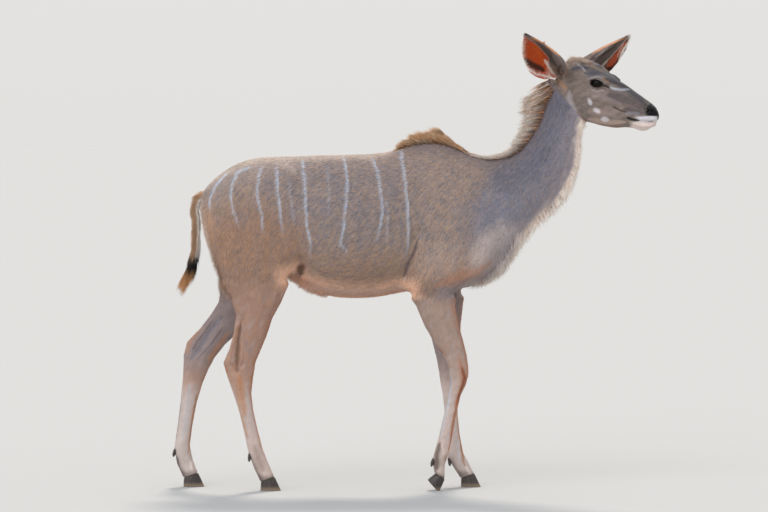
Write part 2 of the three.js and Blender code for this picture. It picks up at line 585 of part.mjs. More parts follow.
// A cupped ear: an arc of shell that is nearly a tube at the root, opens wide and closes to a point.
function ear(name, head) {
  const { leaves, tip, opening, breadth } = EARS[name];
  const root = inHead(EAR_ROOT_AT[0], (name === "right" ? -1 : 1) * EAR_ROOT_AT[1], EAR_ROOT_AT[2]);
  const end = new THREE.Vector3(...tip);
  const reach = root.distanceTo(end);
  const bend = root.clone().addScaledVector(new THREE.Vector3(...leaves).normalize(), reach * 0.3);
  const axis = new THREE.QuadraticBezierCurve3(root, bend, end);
  const frame = (share) => {
    const along = axis.getTangent(Math.max(share, 0));
    const out = new THREE.Vector3(...opening);
    out.addScaledVector(along, -out.dot(along)).normalize();
    const place = axis.getPoint(Math.max(share, 0)).addScaledVector(along, Math.min(share, 0) * reach);
    return { along, out, across: along.clone().cross(out), place };
  };
  // share of the length, radius of the arc, half angle of the arc in degrees
  const arcs = [
    [-0.1, 23, 168],
    [0.06, 28, 160],
    [0.18, 41, 128],
    [0.33, 60, 102],
    [0.5, 72, 86],
    [0.66, 75, 71],
    [0.8, 64, 62],
    [0.92, 42, 50],
    [1, 13, 26],
  ];
  const path = new THREE.CubicInterpolant(arcs.map((a) => a[0]), arcs.flat(), 3);
  const [rows, columns] = [10, 9];
  const grid = (wall) =>
    Array.from({ length: rows }, (_, i) => {
      const share = -0.1 + (1.1 * i) / (rows - 1);
      const [, width, halfAngle] = path.evaluate(share);
      const radius = width * THREE.MathUtils.lerp(1, breadth, THREE.MathUtils.smoothstep(share, 0, 0.4));
      const rim = THREE.MathUtils.lerp(...EAR_WALL, Math.max(share, 0));
      const bow = -14 * Math.sin(Math.PI * Math.max(share, 0));
      const { out, across, place } = frame(share);
      const centre = place.addScaledVector(out, radius - 26 * (1 - 0.6 * share) + bow);
      return Array.from({ length: columns }, (_, j) => {
        const angle = THREE.MathUtils.degToRad(halfAngle) * ((2 * j) / (columns - 1) - 1);
        const r = radius - (wall ? Math.min(rim, radius * 0.5) : 0);
        return centre.clone().addScaledVector(out, -Math.cos(angle) * r).addScaledVector(across, Math.sin(angle) * r);
      });
    });
  // Each row of the shell is one ring: out along the back, home along the inside.
  const [outer, inner] = [grid(false), grid(true)];
  const shell = skin(outer.map((row, i) => [...row, ...inner[i].slice().reverse()]));
  const clear = frame(0).along.clone().multiplyScalar(GAP * 1.6).toArray();
  return largest(shell.subtract(head).subtract(head.translate(clear)));
}

// The tail: a slim dock under tiers of hair that end in a tuft.
function tail(rump) {
  const path = follow(TAIL);
  const core = loft(TAIL, 10);
  const locks = [];
  const [start, end] = [path.along[2], path.along.at(-1)];
  TAIL_TIERS.forEach(([share, count, length, flare], tier) => {
    const t = THREE.MathUtils.lerp(start, end, share);
    const [ax, az, bx, bz, , half] = path.at(t);
    const [cx, cz, dx, dz] = path.at(Math.min(t + 4, end));
    const down = new THREE.Vector3((cx + dx - ax - bx) / 2, 0, (cz + dz - az - bz) / 2).normalize();
    const back = new THREE.Vector3(down.z, 0, -down.x);
    const middle = new THREE.Vector3((ax + bx) / 2, 0, (az + bz) / 2);
    for (let j = 0; j < count; j++) {
      const angle = ((j + (tier % 2) / 2) * 2 * Math.PI) / count + 0.12 * draw();
      const outward = back.clone().multiplyScalar(Math.cos(angle)).add(new THREE.Vector3(0, Math.sin(angle), 0));
      const root = middle.clone().addScaledVector(outward, Math.max(half, 5) * 0.8);
      const from = down.clone().addScaledVector(outward, flare + 0.08).normalize();
      const to = down.clone().addScaledVector(outward, 0.02 - flare * 0.3).normalize();
      const wide = down.clone().cross(outward);
      locks.push(lock(root, from, to, wide, length * (1 + 0.12 * draw()), TAIL_LOCK_WIDTH, 7, 8));
    }
  });
  const whole = join([core, ...locks]);
  return largest(whole.subtract(rump).subtract(rump.translate([-GAP * 1.6, 0, 0])));
}

const materials = {};
function finish(colour, roughness) {
  const key = colour + "-" + roughness;
  materials[key] ??= new THREE.MeshStandardMaterial({ color: colour, roughness, metalness: 0 });
  return materials[key];
}

const kudu = new THREE.Group();
function node(name, solid, colour, roughness = 0.85) {
  const { vertProperties, triVerts, numProp } = solid.getMesh();
  const positions = new Float32Array((vertProperties.length / numProp) * 3);
  for (let i = 0; i < positions.length / 3; i++) {
    positions.set(vertProperties.subarray(i * numProp, i * numProp + 3), i * 3);
  }
  const geometry = new THREE.BufferGeometry();
  geometry.setAttribute("position", new THREE.BufferAttribute(positions, 3));
  geometry.setIndex(new THREE.BufferAttribute(new Uint32Array(triVerts), 1));
  const mesh = new THREE.Mesh(geometry, finish(colour, roughness));
  mesh.name = name;
  kudu.add(mesh);
}

// The legs, each cut at its joints.
const legs = [
  leg(FORE_RIGHT, "right", true),
  leg(FORE_LEFT, "left", true),
  leg(HIND_RIGHT, "right", false),
  leg(HIND_LEFT, "left", false),
];
legs.forEach(({ name, flesh, hooves, dewclaws: points }) => {
  node(name + "_upper", largest(flesh.upper), COAT.fawn);
  node(name + "_cannon", largest(flesh.cannon), COAT.fawn);
  node(name + "_foot", largest(flesh.foot), COAT.grey);
  Object.entries(hooves).forEach(([side, claw]) => node(name + "_hoof_" + side, claw, HOOF_COLOUR, 0.5));
  Object.entries(points).forEach(([side, claw]) => node(name + "_dewclaw_" + side, claw, HOOF_COLOUR, 0.5));
});

// The body in one piece, then parted by thin cuts.
const trunk = loft(TRUNK, TRUNK_SIDES);
const head = headSolid().transform(headMatrix.elements);
const tuft = join(crownTuft()).transform(headMatrix.elements);
const body = join([trunk, head, tuft, ...legs.map((l) => l.shoulder), crest(MANE_CORE), ...mane()]);
node("haunches", largest(behind(body, CUTS.haunch)), COAT.fawn);
node("barrel", largest(onSide(behind(body, CUTS.girth), CUTS.haunch)), COAT.fawn);
node("chest", largest(behind(onSide(body, CUTS.girth), CUTS.neckRoot)), COAT.fawn);
node("neck", largest(behind(onSide(body, CUTS.neckRoot), CUTS.throat)), COAT.grey);
const headNode = largest(onSide(body, CUTS.throat));
node("head", headNode, COAT.fawn);

Object.keys(EARS).forEach((side) => {
  const sign = side === "right" ? -1 : 1;
  node("ear_" + side, ear(side, body), COAT.rufous);
  const eyeball = ellipsoid([EYE_AT[0], sign * EYE_AT[1], EYE_AT[2]], Array(3).fill(EYE_RADIUS), [0, 0, 0], [12, 8]);
  node("eye_" + side, eyeball.transform(headMatrix.elements), EYE_COLOUR, 0.1);
});
node("tail", tail(body), COAT.fawn);

// The origin goes under the middle of the animal's box, on the ground.
const bounds = new THREE.Box3().setFromObject(kudu);
kudu.position.set(-(bounds.min.x + bounds.max.x) / 2, -(bounds.min.y + bounds.max.y) / 2, -bounds.min.z);

export default kudu;
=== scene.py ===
# A greater kudu cow, life size, walking slowly with her head up: skin, coat, eyes and hooves over the solids.
import math

import bmesh
import bpy
import numpy as np
from mathutils import Matrix, Vector
from mathutils.bvhtree import BVHTree

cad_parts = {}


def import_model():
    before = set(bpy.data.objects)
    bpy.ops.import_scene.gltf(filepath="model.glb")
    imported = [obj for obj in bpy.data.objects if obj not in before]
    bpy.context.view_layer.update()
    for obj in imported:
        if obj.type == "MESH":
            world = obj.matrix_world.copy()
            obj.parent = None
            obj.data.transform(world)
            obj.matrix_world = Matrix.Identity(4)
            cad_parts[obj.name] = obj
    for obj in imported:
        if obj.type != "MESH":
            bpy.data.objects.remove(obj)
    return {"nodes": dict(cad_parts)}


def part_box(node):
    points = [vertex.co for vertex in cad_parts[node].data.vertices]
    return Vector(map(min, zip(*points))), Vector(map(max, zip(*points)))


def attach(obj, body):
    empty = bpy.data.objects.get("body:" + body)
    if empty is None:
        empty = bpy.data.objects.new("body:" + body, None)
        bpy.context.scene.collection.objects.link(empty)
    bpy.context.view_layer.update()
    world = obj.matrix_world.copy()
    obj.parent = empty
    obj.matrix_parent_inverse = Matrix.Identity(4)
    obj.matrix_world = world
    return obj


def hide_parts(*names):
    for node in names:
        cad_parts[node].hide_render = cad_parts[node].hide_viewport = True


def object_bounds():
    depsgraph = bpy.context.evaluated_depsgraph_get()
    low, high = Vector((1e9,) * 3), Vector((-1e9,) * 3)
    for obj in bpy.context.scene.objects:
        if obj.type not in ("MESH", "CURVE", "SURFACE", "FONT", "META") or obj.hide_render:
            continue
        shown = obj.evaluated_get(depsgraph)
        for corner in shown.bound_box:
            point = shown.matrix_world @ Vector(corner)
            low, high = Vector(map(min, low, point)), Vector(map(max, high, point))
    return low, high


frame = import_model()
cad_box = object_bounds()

MM = 0.001
rng = np.random.default_rng(20)

# The head's own frame, as the solids have it: x to the nose, y to the animal's left, z up.
HEAD_YAW = -30
HEAD_PITCH = 4
HEAD_ROLL = 4
EYE_AT = Vector((157, 50, 14)) * MM
EYE_SPOT = np.array(EYE_AT) / MM
EYE_RADIUS = 21 * MM
LID_LONG = 20.5  # half the length of the opening, in millimetres
LID_UPPER = 13.5
LID_LOWER = 11.5
LID_TILT = -4

# The photo, and the camera that frames the animal as it does.
PHOTO = (768, 512)
CAMERA_DISTANCE = 14.0
CAMERA_DIP = math.radians(1.7)
LENS = 182.3
SENSOR = 36.0
AIM_FROM_HEAD = Vector((-652, 0, -619)) * MM

SKIN_VOXEL = 5.0 * MM
WELD = 0.5 * MM  # each solid grows by this, so that neighbours join
EAR_WELD = 1.7 * MM  # the walls of the ears are thin, so they grow more and are drawn back afterwards


# Places.

def middle(node):
    low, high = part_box(node)
    return (low + high) / 2


def head_frame():
    turn = Matrix.Identity(4)
    for angle, axis in ((HEAD_YAW, "Z"), (HEAD_PITCH, "Y"), (HEAD_ROLL, "X")):
        turn = turn @ Matrix.Rotation(math.radians(angle), 4, axis)
    between_eyes = (middle("eye_right") + middle("eye_left")) / 2
    at = between_eyes - turn @ Vector((EYE_AT.x, 0, EYE_AT.z))
    return Matrix.Translation(at) @ turn


HEAD = head_frame()
HEAD_ARRAY = np.array(HEAD)
HEAD_BACK = np.array(HEAD.inverted())
AIM = HEAD.translation + AIM_FROM_HEAD
FORWARD = np.array((0, math.cos(CAMERA_DIP), -math.sin(CAMERA_DIP)))
UPWARD = np.array((0, math.sin(CAMERA_DIP), math.cos(CAMERA_DIP)))
CAMERA_AT = np.array(AIM) - CAMERA_DISTANCE * FORWARD


def moved(points, matrix):
    return points @ matrix[:3, :3].T + matrix[:3, 3]


def in_own(points):
    """Points in the head's own frame, in millimetres."""
    return moved(points, HEAD_BACK) / MM


def to_photo(points):
    """Column and row in the photo of points in the frame."""
    view = points - CAMERA_AT
    scale = LENS / SENSOR * PHOTO[0] / (view @ FORWARD)
    return np.stack([PHOTO[0] / 2 + view[:, 0] * scale, PHOTO[1] / 2 - (view @ UPWARD) * scale], 1)


def near_side(points, on_head):
    """The same points mirrored to the side that the photo shows; the head mirrors on its own middle."""
    folded = points * (1, 1, 1)
    folded[:, 1] = -np.abs(points[:, 1])
    own = moved(points, HEAD_BACK)
    own[:, 1] = -np.abs(own[:, 1])
    return np.where(on_head[:, None], moved(own, HEAD_ARRAY), folded)


# Small tools for smooth fields over points.

def unit(vectors):
    return vectors / np.maximum(np.linalg.norm(vectors, axis=-1, keepdims=True), 1e-9)


def ease(values, low, high):
    """0 at low, 1 at high, smooth between; low may be over high."""
    t = np.clip((values - low) / (high - low), 0, 1)
    return t * t * (3 - 2 * t)


def reach(points, path):
    """Distance of each point from a path, and how far along the path its nearest place is, from 0 to 1."""
    path = np.asarray(path, float)
    pieces = np.diff(path, axis=0)
    lengths = np.linalg.norm(pieces, axis=1)
    starts = np.concatenate([[0], np.cumsum(lengths)])
    best = np.full(len(points), np.inf)
    share = np.zeros(len(points))
    for start, piece, length, before in zip(path, pieces, lengths, starts):
        along = np.clip((points - start) @ piece / length**2, 0, 1)
        gap = np.linalg.norm(points - start - along[:, None] * piece, axis=1)
        nearer = gap < best
        best[nearer] = gap[nearer]
        share[nearer] = (before + along[nearer] * length) / starts[-1]
    return best, share


def bell(gap, width):
    """1 where the gap is 0, falling off smoothly over the width."""
    return np.exp(-((gap / width) ** 2))


def spot(points, at, radii, turn=0):
    """1 in the middle of an ellipse, 0 past its edge, on the first two axes."""
    c, s = math.cos(math.radians(turn)), math.sin(math.radians(turn))
    off = points[:, :2] - np.asarray(at)
    across = (off[:, 0] * c + off[:, 1] * s) / radii[0]
    up = (off[:, 1] * c - off[:, 0] * s) / radii[1]
    return ease(np.hypot(across, up), 1.4, 0.6)


def stroke(points, path, wide, widest=None, fade=0.18, core=0.35):
    """1 along the middle of a path on the first two axes, 0 past its width, which tapers at both ends."""
    gap, share = reach(points, path)
    full = wide + ((widest or wide) - wide) * share
    full *= np.sqrt(np.clip(np.minimum(share, 1 - share) / fade, 0.02, 1))
    return ease(gap / full, 1.0, core)


def ripple(points, size, key=0):
    """A smooth seeded noise from -1 to 1, whose lumps are about size across."""
    spin = np.random.default_rng(key)
    total = np.zeros(len(points))
    for octave in range(5):
        wave = spin.normal(size=(points.shape[1], 3))
        wave *= (1 + 0.35 * octave) / size / np.maximum(np.linalg.norm(wave, axis=0), 1e-6) * math.pi
        phase = spin.uniform(0, 2 * math.pi, 3)
        total += np.sin(points @ wave + phase).sum(1) / (3 + octave)
    return total / 2.2


def linear(hex_colour):
    """A colour from sRGB hex as linear values."""
    parts = np.array([int(hex_colour[i:i + 2], 16) / 255 for i in (1, 3, 5)])
    return np.where(parts <= 0.04045, parts / 12.92, ((parts + 0.055) / 1.055) ** 2.4)


# The solids' own places, and the ears.

HEAD_DRAFTED_AT = (792, 0, 1458)  # the head's place in the millimetres that the solids were drawn in
SHIFT = np.array(HEAD.translation) - np.array(HEAD_DRAFTED_AT) * MM


def drafted(x, y, z):
    """A place in the millimetres that the solids were drawn in."""
    return np.array((x, y, z)) * MM + SHIFT


def in_head(x, y, z):
    return np.array(HEAD @ (Vector((x, y, z)) * MM))


# Root and tip of each ear, and the way its cup opens.
EAR_AXES = {
    "ear_right": (in_head(12, -54, 52), drafted(637, -192, 1627)),
    "ear_left": (in_head(12, 54, 52), drafted(1036, 84, 1630)),
}
EAR_OPENING = {
    "ear_right": unit(np.array((-0.2, -0.52, -0.8))),
    "ear_left": unit(np.array((0.506, -0.556, -0.64))),
}
# The lower side of each cup, across its axis.
EAR_LOW = {
    "ear_right": unit(np.array((0.25, 0.1, -1))),
    "ear_left": unit(np.array((0.7, -0.2, -0.7))),
}
EAR_SPLIT = float((EAR_AXES["ear_right"][0][1] + EAR_AXES["ear_left"][0][1]) / 2)  # between the ears


# The skin: one mesh grown from the solids of flesh.

def is_flesh(name):
    return not any(word in name for word in ("hoof", "dewclaw", "tail"))


FLESH = sorted(name for name in frame["nodes"] if is_flesh(name))
HEAD_NODES = ("head", "eye_right", "eye_left")
EAR_NODES = ("ear_right", "ear_left")


def merged_copy(name):
    """A node's mesh with its corners joined, grown by the weld."""
    mesh = bmesh.new()
    mesh.from_mesh(frame["nodes"][name].data)
    bmesh.ops.remove_doubles(mesh, verts=mesh.verts, dist=0.01 * MM)
    mesh.normal_update()
    for vert in mesh.verts:
        vert.co += vert.normal * (EAR_WELD if name in EAR_NODES else WELD)
    return mesh


def object_from(name, mesh, *materials):
    made = bpy.data.objects.new(name, mesh)
    bpy.context.scene.collection.objects.link(made)
    for material in materials:
        mesh.materials.append(material)
    return made


def modified(mesh, kind, **settings):
    """A copy of a mesh with one modifier applied."""
    holder = object_from("holder", mesh)
    modifier = holder.modifiers.new(kind, kind)
    for key, value in settings.items():
        setattr(modifier, key, value)
    result = bpy.data.meshes.new_from_object(holder.evaluated_get(bpy.context.evaluated_depsgraph_get()))
    bpy.data.objects.remove(holder)
    return result


def points_of(mesh):
    points = np.zeros(len(mesh.vertices) * 3, np.float32)
    mesh.vertices.foreach_get("co", points)
    return points.reshape(-1, 3).astype(float)


class Ring:
    """The neighbours of each corner of a mesh."""

    def __init__(self, mesh):
        edges = np.zeros(len(mesh.edges) * 2, np.int32)
        mesh.edges.foreach_get("vertices", edges)
        edges = edges.reshape(-1, 2)
        both = np.concatenate([edges, edges[:, ::-1]])
        both = both[np.argsort(both[:, 0], kind="stable")]
        self.other = both[:, 1]
        self.count = np.bincount(both[:, 0], minlength=len(mesh.vertices))
        self.start = np.concatenate([[0], np.cumsum(self.count)[:-1]])

    def mean(self, values):
        total = np.add.reduceat(values[self.other], self.start, axis=0)
        return total / (self.count[:, None] if values.ndim > 1 else self.count)

    def soften(self, values, times, share=0.5):
        for _ in range(times):
            values = values + share * (self.mean(values) - values)
        return values


def normals_of(points, mesh):
    mesh.vertices.foreach_set("co", points.ravel().astype(np.float32))
    mesh.update()
    normals = np.zeros(len(points) * 3, np.float32)
    mesh.vertices.foreach_get("normal", normals)
    return unit(normals.reshape(-1, 3).astype(float))


def drop_scraps(mesh):
    """Keeps only the largest piece of a mesh."""
    left = set(mesh.verts)
    islands = []
    while left:
        island = {left.pop()}
        front = list(island)
        while front:
            near = [edge.other_vert(vert) for vert in front for edge in vert.link_edges]
            front = [vert for vert in set(near) if vert in left]
            left.difference_update(front)
            island.update(front)
        islands.append(island)
    largest = max(islands, key=len)
    bmesh.ops.delete(mesh, geom=[vert for vert in mesh.verts if vert not in largest])


def in_face(own):
    return own.x > 0 and abs(own.y) < 80 * MM and own.z < 100 * MM


def by_the_eyes(own):
    return (Vector((own.x, abs(own.y), own.z)) - EYE_AT).length < 38 * MM


def on_muzzle(own):
    return own.x > 296 * MM and own.z < -20 * MM


def solid_tree(names):
    """A search tree over the faces of some solids, and for each face the index of its solid."""
    corners, faces, owner = [], [], []
    for index, name in enumerate(names):
        data = frame["nodes"][name].data
        first = len(corners)
        corners.extend(v.co for v in data.vertices)
        faces.extend([first + i for i in p.vertices] for p in data.polygons)
        owner.extend([index] * len(data.polygons))
    return BVHTree.FromPolygons(corners, faces), owner


EAR_TREE, _ = solid_tree(EAR_NODES)
HEAD_TREE, _ = solid_tree(["head"])


def by_the_ears(own):
    return EAR_TREE.find_nearest(HEAD @ own, 7 * MM)[0] is not None


def drawn_to_ears(points, normals, on_ear):
    """Corners of the ears moved onto the solids of the ears; less so where the ears grow from the head."""
    moved_points = points * (1, 1, 1)
    for index in on_ear.nonzero()[0]:
        at, _, _, _ = EAR_TREE.find_nearest(points[index])
        _, _, _, from_head = HEAD_TREE.find_nearest(points[index])
        share = min(max((from_head / MM - 3) / 8, 0), 1)
        target = np.array(at) + normals[index] * 0.5 * MM
        moved_points[index] += share * (target - points[index])
    return moved_points


def grown_skin():
    """The solids of flesh joined, remeshed evenly, with the face in finer cells."""
    joined = bmesh.new()
    for name in FLESH:
        part = merged_copy(name)
        scrap = bpy.data.meshes.new(name + "_copy")
        part.to_mesh(scrap)
        part.free()
        joined.from_mesh(scrap)
        bpy.data.meshes.remove(scrap)
    mesh = bpy.data.meshes.new("flesh")
    joined.to_mesh(mesh)
    joined.free()
    even = modified(mesh, "REMESH", mode="VOXEL", voxel_size=SKIN_VOXEL, use_smooth_shade=True)
    fine = bmesh.new()
    fine.from_mesh(even)
    drop_scraps(fine)
    to_head = Matrix(HEAD_BACK)
    for in_zone in (in_face, by_the_ears, by_the_eyes, on_muzzle):
        inside = {vert for vert in fine.verts if in_zone(to_head @ vert.co)}
        edges = [e for e in fine.edges if e.verts[0] in inside and e.verts[1] in inside]
        bmesh.ops.subdivide_edges(fine, edges=edges, cuts=1, use_grid_fill=True, smooth=0)
    bmesh.ops.triangulate(fine, faces=[f for f in fine.faces if len(f.verts) > 4])
    fine.to_mesh(even)
    fine.free()
    return even


def labels_for(points):
    """The name of the nearest solid for each point, as an index into FLESH."""
    tree, owner = solid_tree(FLESH)
    return np.array([owner[tree.find_nearest(p)[2]] for p in points.tolist()])


# The top line of the back and neck in the photo, without hair.
TOP_LINE = [
    (197, 193), (220, 175), (260, 158.5), (320, 157), (375, 155.5), (400, 148), (430, 139), (450, 142),
    (470, 152), (490, 158.5), (510, 155), (520, 149), (530, 135), (540, 117), (547, 100), (555, 84),
    (575, 62),
]
# The front of the throat and breast, with the tips of its pale fringe.
THROAT_LINE = [
    (587, 125), (585, 145), (582, 170), (573, 190), (560, 210), (545, 227), (525, 243), (511, 267),
    (490, 289), (470, 296), (455, 299),
]
BELLY_LINE = [(405, 294), (370, 300), (330, 299), (310, 292), (293, 279)]

# Where the shape is to be kept, a corner moves by PUSH towards its neighbours and back out by PULL.
PUSH = 0.6
PULL = 0.63
# Rounds of smoothing; a later zone replaces an earlier one.
BODY_ROUNDS = 90.0
ZONE_ROUNDS = {"leg": 30, "shank": 12, "head": 18, "ear": 3, "crest": 170, "crown": 60}
MOST_EAR_ROUNDS = 5


def smoothed(points, rounds, kept, ring):
    """Points after so many rounds of smoothing each; where kept is 1 they don't shrink."""
    slim = (kept > 0.02).nonzero()[0]
    for turn in range(int(rounds.max())):
        share = np.clip(rounds - turn, 0, 1)[:, None]
        step = share * (1 - (1 - PUSH) * kept[:, None])
        points = points + step * (ring.mean(points) - points)
        if turn < rounds[slim].max():
            points = points - share * PULL * kept[:, None] * (ring.mean(points) - points)
    return points


def shaped_skin():
    mesh = grown_skin()
    points = points_of(mesh)
    ring = Ring(mesh)
    label = labels_for(points)
    names = np.array(FLESH)[label]
    on_head = np.isin(names, HEAD_NODES) | np.isin(names, EAR_NODES)
    on_ear = np.isin(names, EAR_NODES)
    on_leg = np.char.find(names, "_upper") > 0
    on_shank = (np.char.find(names, "_cannon") > 0) | (np.char.find(names, "_foot") > 0)
    photo = to_photo(near_side(points, on_head))

    to_top, _ = reach(photo, TOP_LINE)
    crest = (to_top < 16) & ~on_head & (photo[:, 0] > 380)
    crown = on_head & ~on_ear & (photo[:, 1] < 66) & (photo[:, 0] < 590)
    zones = {"leg": on_leg, "shank": on_shank, "head": on_head, "ear": on_ear, "crest": crest, "crown": crown}
    rounds = np.full(len(points), BODY_ROUNDS)
    for zone, zone_rounds in ZONE_ROUNDS.items():
        rounds[zones[zone]] = zone_rounds
    rounds = ring.soften(rounds, 12)
    rounds[on_ear] = np.minimum(rounds[on_ear], MOST_EAR_ROUNDS)
    kept = ring.soften(((on_leg | on_shank | on_head) & ~crown).astype(float), 12)
    points = smoothed(points, rounds, kept, ring)
    points = drawn_to_ears(points, normals_of(points, mesh), on_ear)
    points = smoothed(points, 2.0 * on_ear, on_ear.astype(float), ring)

    normals = normals_of(points, mesh)
    fields = dict(head=on_head & ~on_ear, ear=on_ear, leg=on_leg, shank=on_shank)
    soft = {key: ring.soften(value.astype(float), 10) for key, value in fields.items()}
    depth = coat_depth(points, normals, photo, soft)
    points = points - normals * depth[:, None]
    points = carved(points, normals, on_head, on_ear, soft, ring)
    normals = normals_of(points, mesh)
    return mesh, points, normals, soft, ring, names


# Depths of the coat in millimetres; a later zone lies over an earlier one.
BODY_DEPTH = 4.0
ZONE_DEPTHS = {"leg": 1.6, "shank": 0.9, "head": 1.2, "ear": 0.3}
FRINGE_DEPTH = 12  # more where the pale fringe hangs
BELLY_DEPTH = 3  # more along the belly


def coat_depth(points, normals, photo, soft):
    """How deep the skin lies under the tips of the coat, in metres."""
    depth = np.full(len(points), BODY_DEPTH)
    for zone, zone_depth in ZONE_DEPTHS.items():
        depth = depth + (zone_depth - depth) * soft[zone]
    to_throat, _ = reach(photo, THROAT_LINE)
    bare = 1 - np.clip(soft["head"] + soft["ear"] + soft["leg"], 0, 1)
    depth += FRINGE_DEPTH * ease(to_throat, 16, 3) * ease(np.abs(normals[:, 1]), 0.9, 0.4) * bare
    to_belly, _ = reach(photo, BELLY_LINE)
    depth += BELLY_DEPTH * ease(to_belly, 8, 2) * bare
    return depth * MM


# Forms of the body in the photo: path, width in pixels, height in millimetres.
BODY_FORMS = [
    ([(418, 232), (411, 255), (404, 277)], 4.5, -9),  # fold behind the elbow
    ([(424, 262), (430, 275)], 13, 5),  # elbow and triceps
    ([(487, 175), (497, 205), (509, 240), (512, 258)], 6, -4),  # front edge of the shoulder
    ([(447, 160), (470, 195), (490, 225)], 9, 3),  # shoulder blade
    ([(420, 165), (418, 200), (424, 232)], 9, -3),  # behind the shoulder
    ([(500, 250), (478, 275)], 12, 4),  # breast muscle
    ([(470, 283), (488, 268)], 4, -4),  # between breast and foreleg
    ([(313, 178), (309, 200)], 10, -6),  # hollow of the flank
    ([(284, 167), (294, 171)], 6, 6),  # point of the hip
    ([(297, 238), (299, 252), (301, 262)], 4, -4),  # fold of the flank
    ([(300, 264), (302, 274)], 6, -9),  # hollow of the groin
    ([(244, 190), (240, 220), (243, 262), (250, 290)], 4.5, -3.5),  # between the thigh muscles
    ([(262, 210), (268, 250)], 15, 5),  # thigh
    ([(284, 258), (272, 275)], 8, 4),  # stifle
    ([(213, 195), (217, 240)], 6, 2.5),  # pin bone muscle
    ([(577, 140), (566, 175), (548, 205), (528, 235)], 5, -4),  # groove of the neck
    ([(585, 128), (576, 165)], 7, 2),  # windpipe
]
RIBS = [(335, 176), (350, 174), (365, 172), (380, 172), (395, 176)]
# Forms of the near legs, as the photo shows their outer sides.
NEAR_LEG_FORMS = [
    ([(425, 300), (440, 340), (452, 362)], 4, 2.5),  # forearm muscle
    ([(447, 318), (455, 352)], 3, -2),
    ([(444, 374), (450, 389)], 4, 2.2),  # bones of the carpus
    ([(443, 398), (437, 440), (434, 465)], 1.8, -2.4),  # between cannon and tendon
    ([(447, 398), (442, 440), (437, 466)], 2.6, 1.6),
    ([(240.5, 322), (238.5, 345), (236.5, 364)], 3.6, -9),  # hollow before the big tendon
    ([(252, 318), (247, 350), (243, 372)], 4, 2.5),
    ([(234, 325), (230, 345), (228, 366)], 3, 3),  # tendon over the hock
    ([(461, 366), (464, 380), (459, 394)], 3, 2),  # front of the carpus
    ([(440, 452), (439, 464)], 4, 2),  # fetlock
    ([(236, 378), (240, 390)], 5, 2),
    ([(236, 395), (245, 430), (256, 462)], 1.8, -2),
]
FAR_LEG_FORMS = [
    ([(219, 319), (208, 334), (196, 352)], 3.8, -7),
    ([(222, 318), (213, 340), (202, 362)], 4, 2),
    ([(186, 372), (183, 410), (180, 440)], 1.8, -2),
    ([(445, 372), (446, 395)], 3.5, 2),
    ([(447, 400), (448, 440), (452, 462)], 1.8, -2),
]


def carved(points, normals, on_head, on_ear, soft, ring):
    """The skin with the forms of muscle, bone and face, each falling to about a third at its width."""
    photo = to_photo(near_side(points, on_head))
    height = np.zeros(len(points))
    trunk = 1 - np.clip(soft["head"] + soft["ear"], 0, 1)
    flank = ease(np.abs(normals[:, 1]), 0.15, 0.5) * trunk * (1 - soft["shank"])
    outer = ease(np.sign(points[:, 1]) * normals[:, 1], 0.0, 0.35)
    for path, width, tall in BODY_FORMS:
        gap, _ = reach(photo, path)
        height += tall * bell(gap, width) * flank * outer
    for top_x, top_y in RIBS:
        gap, share = reach(photo, [(top_x, top_y), (top_x - 4, 215), (top_x - 18, 262)])
        height += 1.6 * bell(gap, 3.2) * flank * ease(share, 0, 0.2) * ease(share, 1, 0.7)
    legs = np.clip(soft["leg"] + soft["shank"], 0, 1) * ease(np.abs(normals[:, 1]), 0.2, 0.6)
    here = to_photo(points)
    for forms, side in ((NEAR_LEG_FORMS, points[:, 1] < 0), (FAR_LEG_FORMS, points[:, 1] > 0)):
        for path, width, tall in forms:
            gap, _ = reach(here, path)
            height += tall * bell(gap, width) * legs * side
    height = ring.soften(height, 3)
    points = points + normals * height[:, None] * MM
    face = (on_head & ~on_ear).nonzero()[0]
    points[face] = carved_face(points[face], normals[face])
    return points


# Forms of the face in the head's own frame, in millimetres, mirrored: path (x, y, z), width, height.
FACE_FORMS = [
    ([(112, 56, 38), (140, 60, 40), (172, 55, 30)], 9, 5.0),  # brow
    ([(120, 62, -14), (152, 64, -20), (185, 56, -16)], 9, 1.5),  # under the eye
    ([(180, 50, 2), (205, 44, -14)], 5, -3.5),  # tear groove
    ([(150, 62, -38), (205, 50, -52), (250, 42, -66)], 9, 4.5),  # cheek ridge
    ([(70, 62, -30), (95, 66, -70), (120, 62, -105)], 22, 3.5),  # chewing muscle
    ([(165, 52, -80), (220, 42, -90)], 13, -4),  # hollow of the cheek
    ([(205, 40, -16), (260, 34, -38), (310, 30, -58)], 9, -2.5),
    ([(230, 0, 22), (300, 0, -22)], 14, 1.5),  # bridge of the nose
    ([(336, 24, -62), (352, 22, -70)], 9, 3.0),  # wing of the nostril
    ([(300, 34, -98), (335, 32, -102), (362, 20, -104)], 7, 2.5),  # upper lip
    ([(300, 30, -124), (340, 24, -128), (362, 10, -124)], 9, 2.0),  # chin
]
MOUTH = [(258, 44, -100), (285, 42, -106), (308, 40, -109), (345, 30, -111), (368, 14, -109), (374, 0, -108)]
NOSTRIL = [(336, 30, -66), (345, 27, -72), (356, 20, -76), (360, 17, -72)]
NOSE_SPLIT = [(366, 0, -66), (376, 0, -88), (374, 0, -104)]


